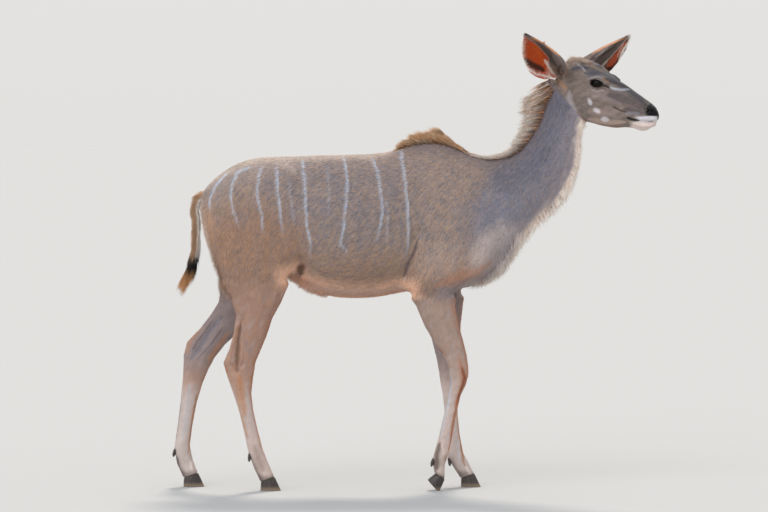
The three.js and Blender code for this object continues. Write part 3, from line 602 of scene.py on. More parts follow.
def carved_face(points, normals):
    own = in_own(points)
    turned = normals @ HEAD_BACK[:3, :3].T
    mirrored = own * (1, 1, 1)
    mirrored[:, 1] = np.abs(own[:, 1])
    height = np.zeros(len(points))
    for path, width, tall in FACE_FORMS:
        gap, _ = reach(mirrored, path)
        height += tall * bell(gap, width)
    gap, share = reach(mirrored, MOUTH)
    height -= (3.6 - 1.2 * share) * bell(gap, 2.6)
    gap, _ = reach(mirrored, NOSTRIL)
    height -= 8.0 * bell(gap, 4.0)
    gap, _ = reach(mirrored, NOSE_SPLIT)
    height -= 1.2 * bell(gap, 2.4)

    # The lids: a rim round the opening, and the skin sunk behind the eyeball inside it.
    off = mirrored - EYE_SPOT
    along, up = lid_plane(off)
    size = np.hypot(along / LID_LONG, up / np.where(up > 0, LID_UPPER, LID_LOWER))
    outward = ease(turned[:, 1] * np.sign(own[:, 1]), 0.2, 0.6) * (np.linalg.norm(off, axis=1) < 42)
    height += 1.4 * bell(size - 1.2, 0.16) * outward
    height += 1.3 * bell(size - 1.75, 0.2) * outward * (up > 0)
    height -= 1.2 * bell(size - 1.5, 0.12) * outward * (up > 0)
    height -= 7.0 * ease(size, 1.06, 0.9) * outward
    own += turned * height[:, None]
    return moved(own * MM, HEAD_ARRAY)


def lid_plane(off):
    """Distances along and across the opening of the lids, from the middle of the eye."""
    c, s = math.cos(math.radians(LID_TILT)), math.sin(math.radians(LID_TILT))
    return off[:, 0] * c + off[:, 2] * s, off[:, 2] * c - off[:, 0] * s


# Colours of the coat, as the open shade of the photo shows them.

TAN = linear("#ab907a")
WARM_TAN = linear("#a07f68")
SLATE = linear("#646a79")
NECK_SLATE = linear("#6f7485")
DARK_SLATE = linear("#585b6a")
RUST = linear("#b06c45")
CREAM = linear("#fbebdf")
PALE = linear("#b7a6a1")
LILAC = linear("#c9bab4")
UMBER = linear("#43332c")
STRIPE = linear("#b4bccb")
EAR_ORANGE = linear("#b4491f")
SMUDGE = linear("#646b80")
SHOULDER_GREY = linear("#858693")
THROAT_GREY = linear("#928a92")
PALE_BELLY_AND_PAINTED_LIGHT = linear("#eec0a4")
BELLY_PAINTED_GLOW = linear("#ec9c62")
BREAST_TAN = linear("#b98568")
BRISKET_PAINTED_SHADOW = linear("#98603d")
BUTTOCK_TAN = linear("#c49a7c")
HIP_PAINTED_HIGHLIGHT = linear("#cdbdb2")
RUMP_GREY = linear("#aaa4a2")
# Painted rim light along the top of the back.
BACK_PAINTED_RIM_LIGHT = linear("#d8c8b8")
CREST_GREY = linear("#6d6468")
ELBOW_PAINTED_SHADE = linear("#4b4147")
FLANK_FOLD_SHADE = linear("#7a625a")
GROIN_PAINTED_SHADE = linear("#4c3226")

# White lines over back and flank, as the photo shows them.
STRIPES = [
    [(228, 172), (216, 185), (210, 198), (210, 215)],
    [(252, 167), (238, 172), (232, 185), (231, 200), (235, 215), (241, 230)],
    [(262, 165), (259, 180), (257, 192), (262, 215), (263, 230), (266, 237)],
    [(277, 165), (278, 190), (281, 215), (284, 240)],
    [(303, 158), (305, 180), (306, 200), (307, 225), (311, 245), (309, 265)],
    [(344, 156), (348, 180), (346, 205), (344, 230), (341, 245), (347, 250), (343, 265)],
    [(372, 157), (378, 170), (381, 190), (383, 210), (381, 225), (377, 240), (376, 247)],
    [(401, 150), (405, 175), (407, 200), (409, 230), (408, 245), (403, 265)],
]
STRIPE_HALF_WIDTH = 1.15
NECK_LINE = [(575, 105), (556, 150), (530, 190), (505, 225)]
NAPE_SIDE = [(560, 92), (545, 125), (532, 158), (505, 178)]
ELBOW_FOLD = [(419, 236), (414, 252), (408, 265), (404, 277)]
FLANK_FOLD = [(296, 236), (300, 255), (302, 268), (300, 277)]
BREAST_RUST = [(436, 286), (460, 277), (480, 269), (494, 260)]
BRISKET_SHADOW_LINE = [(458, 293), (472, 291), (488, 287)]
BREAST_RIM = [(456, 298), (474, 297), (490, 290)]
HIND_RIM_LIGHT_LINE = [(203, 232), (206, 255), (213, 277)]
HIP_HIGHLIGHT_LINE = [(276, 163), (288, 166), (298, 174)]
SMUDGES = [(242, 218), (326, 208), (357, 205), (296, 215), (270, 186), (392, 188), (335, 182)]
SMUDGE_RADII = (6, 10)
# Patches: middle in the photo, radii in pixels and turn in degrees.
THIGH_PATCH = ((252, 262), (62, 58))
RIB_PATCH = ((345, 200), (75, 50))
SHOULDER_PATCH = ((500, 215), (22, 26), 30)
BREAST_PATCH = ((499, 250), (34, 24), -40)
ELBOW_PATCH = ((440, 262), (24, 16), -30)
GROIN_SHADE_PATCH = ((301, 270), (5, 6.5))
FAINT_STRIPES = [
    [(387, 200), (388, 225), (387, 250)],
    [(328, 165), (330, 195), (328, 220)],
    [(289, 180), (292, 205), (295, 228)],
]
LEG_PATHS = {
    "fore_right": [(432, 285), (440, 320), (451, 360), (453, 382), (446, 430), (440, 460), (439, 485)],
    "fore_left": [(432, 285), (447, 340), (451, 385), (452, 420), (453, 455), (462, 475), (470, 485)],
    "hind_right": [(262, 260), (254, 300), (242, 345), (238, 375), (240, 400), (250, 440), (262, 478)],
    "hind_left": [(262, 260), (235, 305), (205, 335), (190, 362), (187, 400), (182, 450), (186, 478)],
}


def blend_to(colours, target, share):
    """Colours moved towards a target by a share from 0 to 1."""
    return colours + (target - colours) * np.clip(share, 0, 1)[:, None]


def marked(colours, places, marks, share=1, grow=1, fade=0.18, core=0.35):
    """Blends in marks, each a tone, a strength, a path, and its width at its start and at its end."""
    for tone, strength, path, wide, widest in marks:
        line = stroke(places, path, grow * wide, grow * widest, fade, core)
        colours = blend_to(colours, linear(tone), strength * share * line)
    return colours


def flecks(points, size, key):
    """A noise like ripple, drawn out along the lie of the hair."""
    along = -0.55 * points[:, 0] - 0.83 * points[:, 2]
    across = 0.83 * points[:, 0] - 0.55 * points[:, 2]
    return ripple(np.stack([0.3 * along, across, points[:, 1]], 1), size, key)


def body_colours(points, normals, photo, scatter):
    """The markings of trunk and neck: tan hair flecked with slate, in other shares from place to place; with
    painted shade in the folds of elbow, flank and groin, a painted shadow under the brisket, painted light on
    the belly, a painted highlight on the hip and painted rim light along back and buttock.
    """
    rows = photo[:, 1] + 5 * ripple(points, 0.16, 1)
    mottle = ripple(points, 0.055, 3)
    fine = flecks(points, 0.008, 16)
    thigh = np.maximum(spot(photo, *THIGH_PATCH), 0.7 * ease(rows, 235, 275))
    colours = np.tile(TAN, (len(points), 1))
    colours = blend_to(colours, WARM_TAN, thigh)
    to_neck, _ = reach(photo, NECK_LINE)
    neck = ease(to_neck + 9 * ripple(points, 0.1, 2), 60, 12)
    ribs = spot(photo, *RIB_PATCH)
    slate = 0.42 + 0.12 * ribs - 0.28 * thigh + 0.06 * mottle
    slate = slate + (0.8 - slate) * neck
    tone = SLATE + (NECK_SLATE - SLATE) * neck[:, None]
    colours = blend_to(colours, tone, np.clip(slate + 0.3 * fine * (1 - 0.4 * neck) + scatter, 0, 1))
    for at in SMUDGES:
        colours = blend_to(colours, SMUDGE, 0.2 * spot(photo + 2 * mottle[:, None], at, SMUDGE_RADII, -20))
    to_nape, _ = reach(photo, NAPE_SIDE)
    colours = blend_to(colours, DARK_SLATE, (0.6 + 0.25 * fine) * ease(to_nape + 3 * mottle, 26, 5))
    shoulder = spot(photo + 3 * mottle[:, None], *SHOULDER_PATCH)
    colours = blend_to(colours, SHOULDER_GREY, 0.3 * shoulder)
    soft_edge = photo + 3.5 * np.stack([mottle, ripple(points, 0.04, 21)], 1)
    colours = blend_to(colours, LILAC, 0.6 * spot(soft_edge, *BREAST_PATCH) ** 1.5)
    colours = blend_to(colours, LILAC, 0.15 * spot(soft_edge, *ELBOW_PATCH))
    to_throat, _ = reach(photo, THROAT_LINE)
    colours = blend_to(colours, THROAT_GREY, 0.6 * ease(to_throat + 3 * mottle, 30, 10))
    to_belly, _ = reach(photo, BELLY_LINE)
    trunk = ease(photo[:, 0], 450, 420)
    # The pale belly is partly its own colour and partly painted light; the orange glow along its lower edge
    # is painted light.
    colours = blend_to(colours, PALE_BELLY_AND_PAINTED_LIGHT, 0.85 * ease(to_belly + 3 * mottle, 24, 6) * trunk)
    colours = blend_to(colours, BELLY_PAINTED_GLOW, 0.8 * ease(to_belly, 8, 2) * trunk)
    rust = (0.5 + 0.2 * mottle) * stroke(soft_edge, BREAST_RUST, 9, 7, 0.3, 0.0)
    colours = blend_to(colours, BREAST_TAN, rust)
    colours = blend_to(colours, PALE, 0.5 * ease(-normals[:, 2], 0.6, 0.95))
    pale = ease(to_throat + 3 * ripple(points, 0.05, 4) + 2 * fine, 13, 2) * ease(photo[:, 0], 458, 476)
    colours = blend_to(colours, CREAM, pale)
    middle_front = ease(np.abs(points[:, 1]), 0.06, 0.02) * ease(normals[:, 0], 0.3, 0.7)
    colours = blend_to(colours, CREAM, 0.8 * middle_front * ease(photo[:, 0], 500, 530))
    # Painted shadow under the brisket, between it and the foreleg.
    colours = blend_to(colours, BRISKET_PAINTED_SHADOW, 0.75 * stroke(photo, BRISKET_SHADOW_LINE, 4, 3, 0.3, 0.0))
    colours = blend_to(colours, CREAM, 0.8 * stroke(photo, BREAST_RIM, 2, 2, 0.3, 0.0))
    buttock = ease(photo[:, 0] + 2 * mottle, 219, 204) * ease(rows, 190, 220)
    colours = blend_to(colours, BUTTOCK_TAN, 0.75 * buttock)
    # A cream line down the rear edge of the buttock is painted rim light.
    colours = blend_to(colours, CREAM, 0.7 * stroke(photo, HIND_RIM_LIGHT_LINE, 3, 4, 0.3, 0.0))
    # Painted highlight over the point of the hip.
    colours = blend_to(colours, HIP_PAINTED_HIGHLIGHT, 0.35 * stroke(photo, HIP_HIGHLIGHT_LINE, 6, 5, 0.4, 0))
    to_top, _ = reach(photo, TOP_LINE)
    back = ease(photo[:, 0], 410, 395)
    rump = ease(to_top + 3 * mottle, 26, 2) * ease(photo[:, 0], 340, 270)
    colours = blend_to(colours, RUMP_GREY, 0.3 * rump)
    # A thin pale line along the top of the back is painted rim light.
    colours = blend_to(colours, BACK_PAINTED_RIM_LIGHT, 0.25 * ease(to_top + mottle, 6, 0) * back)
    crest = ease(photo[:, 0], 400, 424) * ease(photo[:, 0], 556, 540)
    colours = blend_to(colours, CREST_GREY, 0.55 * ease(to_top, 18, 5) * crest)
    colours = blend_to(colours, UMBER, 0.75 * ease(to_top, 5, 1.5) * crest)
    # Painted shade in the fold behind the elbow.
    elbow = (0.75 + 0.3 * fine) * stroke(photo, ELBOW_FOLD, 2.2, 4.4, 0.3, 0.0)
    colours = blend_to(colours, ELBOW_PAINTED_SHADE, elbow)
    # Painted shade in the fold of the flank.
    colours = blend_to(colours, FLANK_FOLD_SHADE, 0.5 * stroke(photo, FLANK_FOLD, 1.5, 4.5, 0.3, 0.0))
    # Painted shade in the hollow of the groin.
    colours = blend_to(colours, GROIN_PAINTED_SHADE, 0.8 * spot(soft_edge, *GROIN_SHADE_PATCH))
    wavy = photo + 0.9 * np.stack([ripple(points, 0.035, 5), ripple(points, 0.05, 6)], 1)
    for paths, most in ((STRIPES, 0.8), (FAINT_STRIPES, 0.25)):
        for path in paths:
            gap, share = reach(wavy, path)
            half = STRIPE_HALF_WIDTH * (1 - 0.35 * share) * (1 + 0.3 * ripple(points, 0.03, 7))
            strength = ease(gap, half + 0.9, half - 0.7) * ease(share, 1.02, 0.7) * ease(share, -0.02, 0.06)
            colours = blend_to(colours, STRIPE, most * (1 + 0.4 * ripple(points, 0.02, 8)) * strength)
    return colours


# Marks of the legs: tone, strength, path in the photo, width at its start and at its end.
NEAR_LEG_MARKS = [
    ("#9a6548", 0.6, [(427, 332), (434, 345), (444, 354)], 2.6, 3),  # rear of the forearm
    ("#a8765c", 0.75, [(459, 358), (464, 378), (459, 396), (455, 408)], 6, 5),  # front of the carpus
    ("#7d452c", 0.9, [(461, 366), (465, 378), (460, 392), (457, 405)], 3, 2.4),
    # front of the cannon
    ("#a5684a", 0.85, [(459, 398), (455, 412), (452, 430), (450, 450), (448.5, 462)], 2.4, 2.2),
    # tendon groove of the cannon
    ("#b4b8c0", 0.7, [(450, 370), (450.5, 385), (449.5, 398), (446.5, 412), (443, 428), (440, 440)],
     2.8, 2.2),
    ("#7c8494", 0.45, [(450.5, 378), (451, 389)], 1.8, 1.6),
    ("#665a53", 0.9, [(440, 442), (437, 455), (437, 470)], 4.2, 5),  # rear of the fetlock
    ("#dccec2", 0.65, [(441.5, 443), (443, 450), (444, 457)], 1.5, 1.3),
    ("#9a6a4c", 0.6, [(446, 455), (445.5, 462), (445, 469)], 1.5, 1.5),
    ("#b59481", 0.6, [(236, 322), (230, 345), (226, 360)], 2.4, 2.6),  # tendon over the hock
    # Painted shade in the hollow before the big tendon of the hock, with dark lines at its edges and foot.
    ("#6f5546", 0.9, [(241, 320), (238.5, 340), (237, 358), (237, 371)], 2.6, 5.2),  # hollow before it
    ("#7c5540", 0.4, [(239.5, 322), (236, 338), (231.5, 352), (231, 359)], 1.6, 1.8),
    ("#7c5540", 0.4, [(243, 345), (243.5, 355), (240, 367)], 1.4, 1.5),
    ("#7c5540", 0.55, [(230, 361), (237, 372), (243, 362)], 1.8, 1.6),
    ("#a8744f", 0.7, [(223, 362), (225, 367), (227, 373)], 3.0, 2.6),  # point of the hock
    ("#b27e57", 0.65, [(239, 374), (241, 394), (245, 416)], 6.5, 5.5),
    ("#7b7f8c", 0.35, [(246, 338), (246, 352)], 3, 2.6),
    ("#7b7f8c", 0.3, [(250, 346), (250, 358)], 2.6, 2.6),
    ("#ab8468", 0.6, [(236, 388), (240, 410), (248, 440)], 2.6, 2.6),
    ("#b3a6a2", 0.6, [(246, 388), (250, 412), (257, 440)], 2.8, 2.8),
    ("#97847b", 0.65, [(254, 444), (258, 458), (263, 472)], 5, 6),
]
FAR_LEG_MARKS = [
    ("#a9836b", 0.75, [(203, 322), (190, 342), (186, 354)], 5, 4),
    ("#74727c", 0.8, [(223, 315), (210, 331), (200, 346), (190, 360)], 4.6, 4),
    # Painted shade in two grooves of the far hind leg above the hock.
    ("#54505a", 0.7, [(214, 318), (200, 338), (192, 350)], 1.2, 1.3),
    ("#54505a", 0.65, [(224, 326), (213, 341), (204, 352), (198, 358)], 1.2, 1.4),
    ("#b5805f", 0.75, [(229, 332), (217, 348), (208, 361)], 3.6, 3.2),
    ("#aaacb2", 0.65, [(190, 383), (187, 410), (183, 441)], 3, 2.6),
    ("#8b817f", 0.65, [(182, 372), (180, 410), (176, 440)], 1.8, 1.8),
    ("#a8765a", 0.8, [(197, 393), (193, 415), (190.5, 435), (188.5, 456)], 2, 1.8),
    ("#5f544e", 0.85, [(177, 456), (177, 468), (181, 477)], 3.4, 3.8),
    ("#e0d6ce", 0.75, [(190.5, 461), (192, 470)], 2.0, 2.2),
    ("#c3bfc2", 0.75, [(458, 438), (459, 450), (459, 463)], 2.6, 2.6),
    ("#a4704f", 0.85, [(458, 410), (459.5, 430), (461, 445), (463, 460), (466, 469)], 1.8, 2),
    ("#85604c", 0.85, [(451, 464), (456, 476), (464, 487)], 3.2, 3.6),
    ("#e6dad0", 0.8, [(465, 465), (470, 475), (474, 482)], 1.8, 1.8),
]


LEG_FAWN = linear("#a88f82")
LEG_PALE = linear("#bbaaa3")
HOCK_TAN = linear("#a8836f")
LEG_FLECK = linear("#d6c3b6")
INNER_LEG_PAINTED_SHADE = linear("#8b8283")
INNER_PALE = linear("#bcb0ab")


def leg_colours(points, normals, photo):
    colours = np.tile(LEG_FAWN, (len(points), 1))
    height = points[:, 2]
    colours = blend_to(colours, LEG_PALE, ease(height + 0.02 * ripple(points, 0.06, 17), 0.5, 0.3))
    hind = points[:, 0] < 0
    colours = blend_to(colours, HOCK_TAN, 0.8 * hind * ease(height, 0.28, 0.42))
    fleck = flecks(points, 0.012, 22)
    colours = blend_to(colours, SLATE, np.clip(0.1 + 0.25 * fleck, 0, 1) * ease(height, 0.2, 0.5))
    colours = blend_to(colours, LEG_FLECK, np.clip(0.3 * fleck, 0, 1))
    shaky = photo + 0.7 * np.stack([ripple(points, 0.02, 23), ripple(points, 0.03, 24)], 1)
    inner = ease(-np.sign(points[:, 1]) * normals[:, 1], -0.1, 0.5)
    # The grey on the upper inner sides of the legs is painted shade; lower down they are pale.
    colours = blend_to(colours, INNER_LEG_PAINTED_SHADE, 0.8 * inner * ease(height, 0.35, 0.5))
    colours = blend_to(colours, INNER_PALE, 0.7 * inner * ease(height, 0.4, 0.3))
    colours = blend_to(colours, RUST, 0.55 * ease(normals[:, 0], 0.5, 0.95) * ease(height, 0.08, 0.2))
    colours = marked(colours, shaky, NEAR_LEG_MARKS, points[:, 1] < 0, fade=0.2, core=0.0)
    colours = marked(colours, shaky, FAR_LEG_MARKS, points[:, 1] > 0, fade=0.2, core=0.0)
    colours = blend_to(colours, UMBER, 0.5 * ease(-normals[:, 0], 0.1, 0.7) * ease(height, 0.14, 0.08))
    return blend_to(colours, UMBER, 0.5 * ease(height + 0.01 * ripple(points, 0.03, 9), 0.065, 0.045))


# Marks of the face: tone, strength, path in the photo, width at its start and at its end.
FACE_MARKS = [
    ("#9b8a82", 0.55, [(588, 112), (604, 112), (622, 108.5)], 6.5, 4.5),  # lower cheek
    ("#9a8b86", 0.4, [(582, 92), (592, 95), (602, 94)], 3.5, 3),
    ("#aaa3a7", 0.6, [(569, 90), (570, 103), (575, 113), (584, 122)], 4, 4),  # edge of the jaw
    ("#b09a8e", 0.8, [(588, 119), (606, 122.5), (626, 122)], 4, 2.6),  # lower jaw
    ("#574f51", 0.9, [(608, 95), (630, 101), (649, 108)], 8, 6),  # side of the nose
    ("#6d5b55", 0.5, [(606, 100), (622, 104), (636, 106)], 2.5, 2),
    ("#8a7d7f", 0.45, [(600, 96), (612, 100), (622, 105)], 2.5, 2),
    ("#4b4447", 0.7, [(624, 108), (636, 112), (646, 113)], 3, 4),
    ("#5f5f6a", 0.85, [(584, 73), (600, 73), (614, 79)], 4.4, 3.5),  # brow
    ("#494d57", 0.85, [(571, 70), (580, 67), (590, 68)], 3, 2.5),  # temple
    ("#cfc4be", 0.6, [(568, 62), (580, 61.5), (592, 63)], 2.0, 1.2),  # crown
    ("#c4c1c8", 0.5, [(577, 64), (582, 67), (586, 72)], 1.1, 0.9),
    ("#3c3c46", 0.8, [(594, 65), (606, 69), (618, 77)], 1.8, 1.6),
    ("#a98868", 0.5, [(588, 64.5), (596, 67.5), (605, 73)], 1.0, 0.9),
    ("#3a3b45", 0.95, [(604, 78.5), (616, 82), (630, 88.5)], 3.6, 2.0),  # dark stripe beside the blaze
    ("#96705a", 0.6, [(601, 77), (606, 80), (610, 84)], 1.3, 1.0),
    ("#b0b5c1", 0.8, [(609, 86.6), (615, 88.9), (622, 89.8), (630, 89.2)], 1.3, 1.6),  # pale bar
    # Painted highlight on the upper lid.
    ("#a3a3ab", 0.7, [(588, 79.5), (592, 77.4), (598, 76.8), (603, 78.6)], 1.0, 0.8),  # over the eye
    ("#a49b9a", 0.6, [(590, 89), (597, 91.4), (604, 89.8)], 1.1, 0.9),  # under the eye
    ("#1b1614", 0.95, [(603.5, 84.5), (607, 86.5), (610.5, 88.4)], 1.7, 0.9),  # corner of the eye
    # Painted shadow under the jaw, where it meets the throat.
    ("#7b5a47", 0.8, [(575, 111), (582, 119), (588, 125)], 2.4, 2.4),  # where the jaw meets the throat
    ("#b58f70", 0.5, [(558, 80), (562, 84), (567, 90)], 3.2, 3),  # under the ear
    # Painted shade in the crease before the cheek.
    ("#3b3130", 0.85, [(612, 106.6), (620, 110), (628, 112.6)], 1.2, 0.9),  # crease before the cheek
    ("#8c6c5c", 0.65, [(588, 123), (606, 126.5), (626, 126.5)], 2.2, 1.8),  # edge of the lower jaw
    ("#8a8c96", 0.45, [(625, 113.5), (632, 113), (640, 114)], 2.2, 1.8),  # grey above the corner of the mouth
]
LIP_MARKS = [
    ("#c9c9d2", 0.85, [(638, 119.4), (643, 117.8), (650, 117.2), (658, 117.8)], 1.4, 2.0),
    ("#d9c6c0", 0.85, [(630, 126.5), (640, 127.2), (648, 126.4), (657, 122.8)], 2.4, 2.8),
    # The corner of the mouth: dark skin and painted shade.
    ("#1c1717", 0.95, [(626.5, 117.3), (632, 119.4), (640, 120.6)], 2.2, 1.2),
]
# The path of a painted highlight on the nose.
NOSE_HIGHLIGHT_PATH = [(652, 105), (655.5, 106), (658.5, 110)]
CHEEK_SPOTS = [
    ((590, 101.9), (1.9, 3.6), -20),
    ((596.7, 110.6), (3.8, 2.2), 28),
    ((605, 119.4), (3.9, 2.5), 12),
]


FACE_FAWN = linear("#857870")
FACE_BROWN = linear("#655b59")
BLAZE_SLATE = linear("#4d525e")
FOREHEAD_GREY = linear("#6d6870")
CHEEK_WHITE = linear("#d0ccd2")
LID_BLACK = linear("#1a1413")
JAW_PALE = linear("#b9aaa3")
LIP_WHITE = linear("#cdc8cb")
CHIN_CREAM = linear("#d9ccc4")
MOUTH_SKIN_AND_SHADE = linear("#1f1817")
NOSE_BLACK = linear("#0f0f12")
NOSE_PAINTED_HIGHLIGHT = linear("#8592a6")


def head_colours(points, normals, photo):
    own = in_own(points)
    side = np.abs(own[:, 1])
    streak = ripple(points * (1, 1, 2.5), 0.022, 10)
    hairs = ripple(points * (1, 1, 3), 0.007, 25)
    colours = np.tile(FACE_FAWN, (len(points), 1))
    colours = blend_to(colours, FACE_BROWN, 0.35 + 0.5 * streak + 0.3 * hairs)
    blaze = ease(side + 3 * streak, 30, 14) * ease(own[:, 0], 170, 215) * ease(own[:, 2], -60, -30)
    colours = blend_to(colours, BLAZE_SLATE, 0.8 * blaze)
    forehead = ease(side, 42, 18) * ease(own[:, 2], 20, 50)
    forehead = forehead * ease(own[:, 0], 60, 110) * ease(own[:, 0], 200, 165)
    colours = blend_to(colours, FOREHEAD_GREY, 0.7 * forehead)
    shaky = photo + 0.5 * np.stack([ripple(points, 0.01, 18), ripple(points, 0.012, 19)], 1)
    colours = marked(colours, shaky, FACE_MARKS, 0.95 + 0.3 * hairs, grow=1.3, fade=0.22, core=0.2)
    for at, radii, turn in CHEEK_SPOTS:
        colours = blend_to(colours, CHEEK_WHITE, (0.75 + 0.25 * hairs) * spot(shaky, at, radii, turn))
    # Painted shade: parts of the face that look up are darkened by up to a half against the strong light from
    # above; the forehead is darker in life as well.
    upper = ease(normals[:, 2], 0.15, 0.75) * ease(own[:, 0], 40, 90) * ease(photo[:, 1], 60, 68)
    colours *= (1 - 0.5 * upper)[:, None]
    colours = blend_to(colours, LID_BLACK, 0.95 * by_the_lids(own, 1.3, 1.12))
    throat = ease(photo[:, 1] - 0.1 * photo[:, 0], 66.5, 69.5) * ease(own[:, 0], 60, 110)
    colours = blend_to(colours, JAW_PALE, 0.7 * throat)
    lip = ease(own[:, 0], 296, 318) * ease(own[:, 2], -90, -98) * ease(own[:, 2], -118, -110)
    colours = blend_to(colours, LIP_WHITE, 0.9 * lip)
    chin = ease(own[:, 0], 268, 296) * ease(own[:, 2], -112, -117)
    colours = blend_to(colours, CHIN_CREAM, 0.85 * chin)
    colours = marked(colours, photo, LIP_MARKS)
    mouth, _ = reach(np.stack([own[:, 0], side, own[:, 2]], 1), MOUTH)
    # The slit of the mouth: dark lip skin and painted shade.
    colours = blend_to(colours, MOUTH_SKIN_AND_SHADE, 0.92 * ease(mouth, 3.0, 1.2))
    leather = np.tile(NOSE_BLACK, (len(points), 1))
    # A painted highlight on the wet nose.
    painted_highlight = stroke(photo, NOSE_HIGHLIGHT_PATH, 1.5, 1.9, 0.3, 0.0)
    leather = blend_to(leather, NOSE_PAINTED_HIGHLIGHT, 0.6 * painted_highlight)
    return colours + (leather - colours) * nose_share(own)[:, None]


def by_the_lids(own, far, near):
    """1 at the opening of the lids, 0 past far, in shares of the opening's size."""
    off = own * (1, 1, 1)
    off[:, 1] = np.abs(own[:, 1])
    off -= EYE_SPOT
    along, up = lid_plane(off)
    size = np.hypot(along / LID_LONG, up / np.where(up > 0, LID_UPPER, LID_LOWER))
    return ease(size, far, near) * (np.linalg.norm(off, axis=1) < 45)


def nose_share(own):
    """1 on the bare leather of the nose, which narrows to a strip that parts the upper lip."""
    side = np.abs(own[:, 1])
    front = ease(own[:, 0] - 0.25 * own[:, 2], 355, 361)
    pad = ease(own[:, 2], -92, -87) * ease(side, 35, 31)
    strip = ease(own[:, 2], -106, -102) * ease(side, 6, 4)
    return front * np.maximum(pad, strip)


# Where the orange cup of each ear meets the grey back that folds over it, as the photo shows them.
CUP_EDGES = {
    "ear_right": [(522, 33), (538.6, 46.4), (548.6, 58), (549, 66), (557, 77)],
    "ear_left": [(598, 68.7), (610, 57.9), (624, 42), (632, 33)],
}
PALE_RIMS = {
    "ear_right": [(524, 34), (521.7, 41.7), (522, 57), (527, 68), (537, 74.5), (549.5, 77), (557, 81)],
    "ear_left": [(631, 36), (629, 41.7), (623, 50.6), (619.4, 60.6)],
}


def side_of(points, path):
    """Distance from a path in the photo, over 0 on the right hand of one who follows it."""
    best = np.full(len(points), np.inf)
    signed = np.zeros(len(points))
    path = np.asarray(path, float)
    for start, end in zip(path, path[1:]):
        piece = end - start
        off = points - start
        along = np.clip(off @ piece / (piece @ piece), 0, 1)
        gap = np.linalg.norm(off - along[:, None] * piece, axis=1)
        nearer = gap < best
        best[nearer] = gap[nearer]
        signed[nearer] = (gap * np.sign(piece[0] * off[:, 1] - piece[1] * off[:, 0]))[nearer]
    return signed


# Marks inside the cups and on the backs of the ears, where the photo shows them.
NEAR_CUP_MARKS = [
    ("#d2a184", 0.65, [(525, 40), (523, 50), (525, 60)], 2.2, 2),
    ("#c4551f", 0.7, [(533, 44), (540, 54), (545, 64)], 4, 3.5),
    ("#3a241c", 0.95, [(522, 59), (532, 65), (545, 71)], 5.4, 4.6),
    ("#b9401c", 0.9, [(538, 73), (546, 74.5), (554, 77)], 2.6, 2.2),
    ("#e2d4c8", 0.9, [(544, 59), (549, 66), (557, 76)], 2.2, 4),
    ("#6b5a52", 0.6, [(526, 36), (531, 40)], 2, 1.6),
]
NEAR_BACK_MARKS = [
    ("#4f4642", 0.8, [(536, 42), (547, 52), (556, 66)], 3, 6),
    ("#8f8580", 0.6, [(552, 54), (559, 64), (562, 74)], 2.4, 3),
    ("#b67b50", 0.85, [(530, 37.5), (545, 43), (560, 56)], 2.2, 2.4),
]
FAR_CUP_MARKS = [
    ("#b5563a", 0.9, [(626, 42), (618, 54), (607, 68)], 3, 5),
    ("#35221d", 0.95, [(606, 69), (612, 68.5), (617, 68)], 3, 3),
    ("#dcd2cb", 0.9, [(602, 67.5), (607, 60.5), (612, 55)], 1.6, 0.9),
    ("#d6b6a2", 0.6, [(624, 43), (620, 50), (617, 58)], 1, 1.3),
]
FAR_BACK_MARKS = [
    ("#40393a", 0.85, [(590, 60), (604, 53), (617, 44)], 4, 3),
    ("#8b8178", 0.6, [(594, 58), (606, 50), (616, 45)], 1.2, 0.8),
    ("#b9805a", 0.85, [(592, 53.5), (608, 44.5), (627, 37.5)], 2, 1.6),
]


EAR_GREY = linear("#665a56")
EAR_ROOT_TAN = linear("#8f7a6c")
EAR_DARK = linear("#4f4642")
CUP_DARK = linear("#40281f")
CUP_ROOT_PALE = linear("#c3a692")
CUP_HAIR = linear("#e0b090")
EAR_EDGE_PALE = linear("#d8cbc0")
EAR_RIM_WHITE = linear("#f0e8e0")
NEAR_TIP_DARK = linear("#33292a")
FAR_TIP_PALE = linear("#d9d2cc")


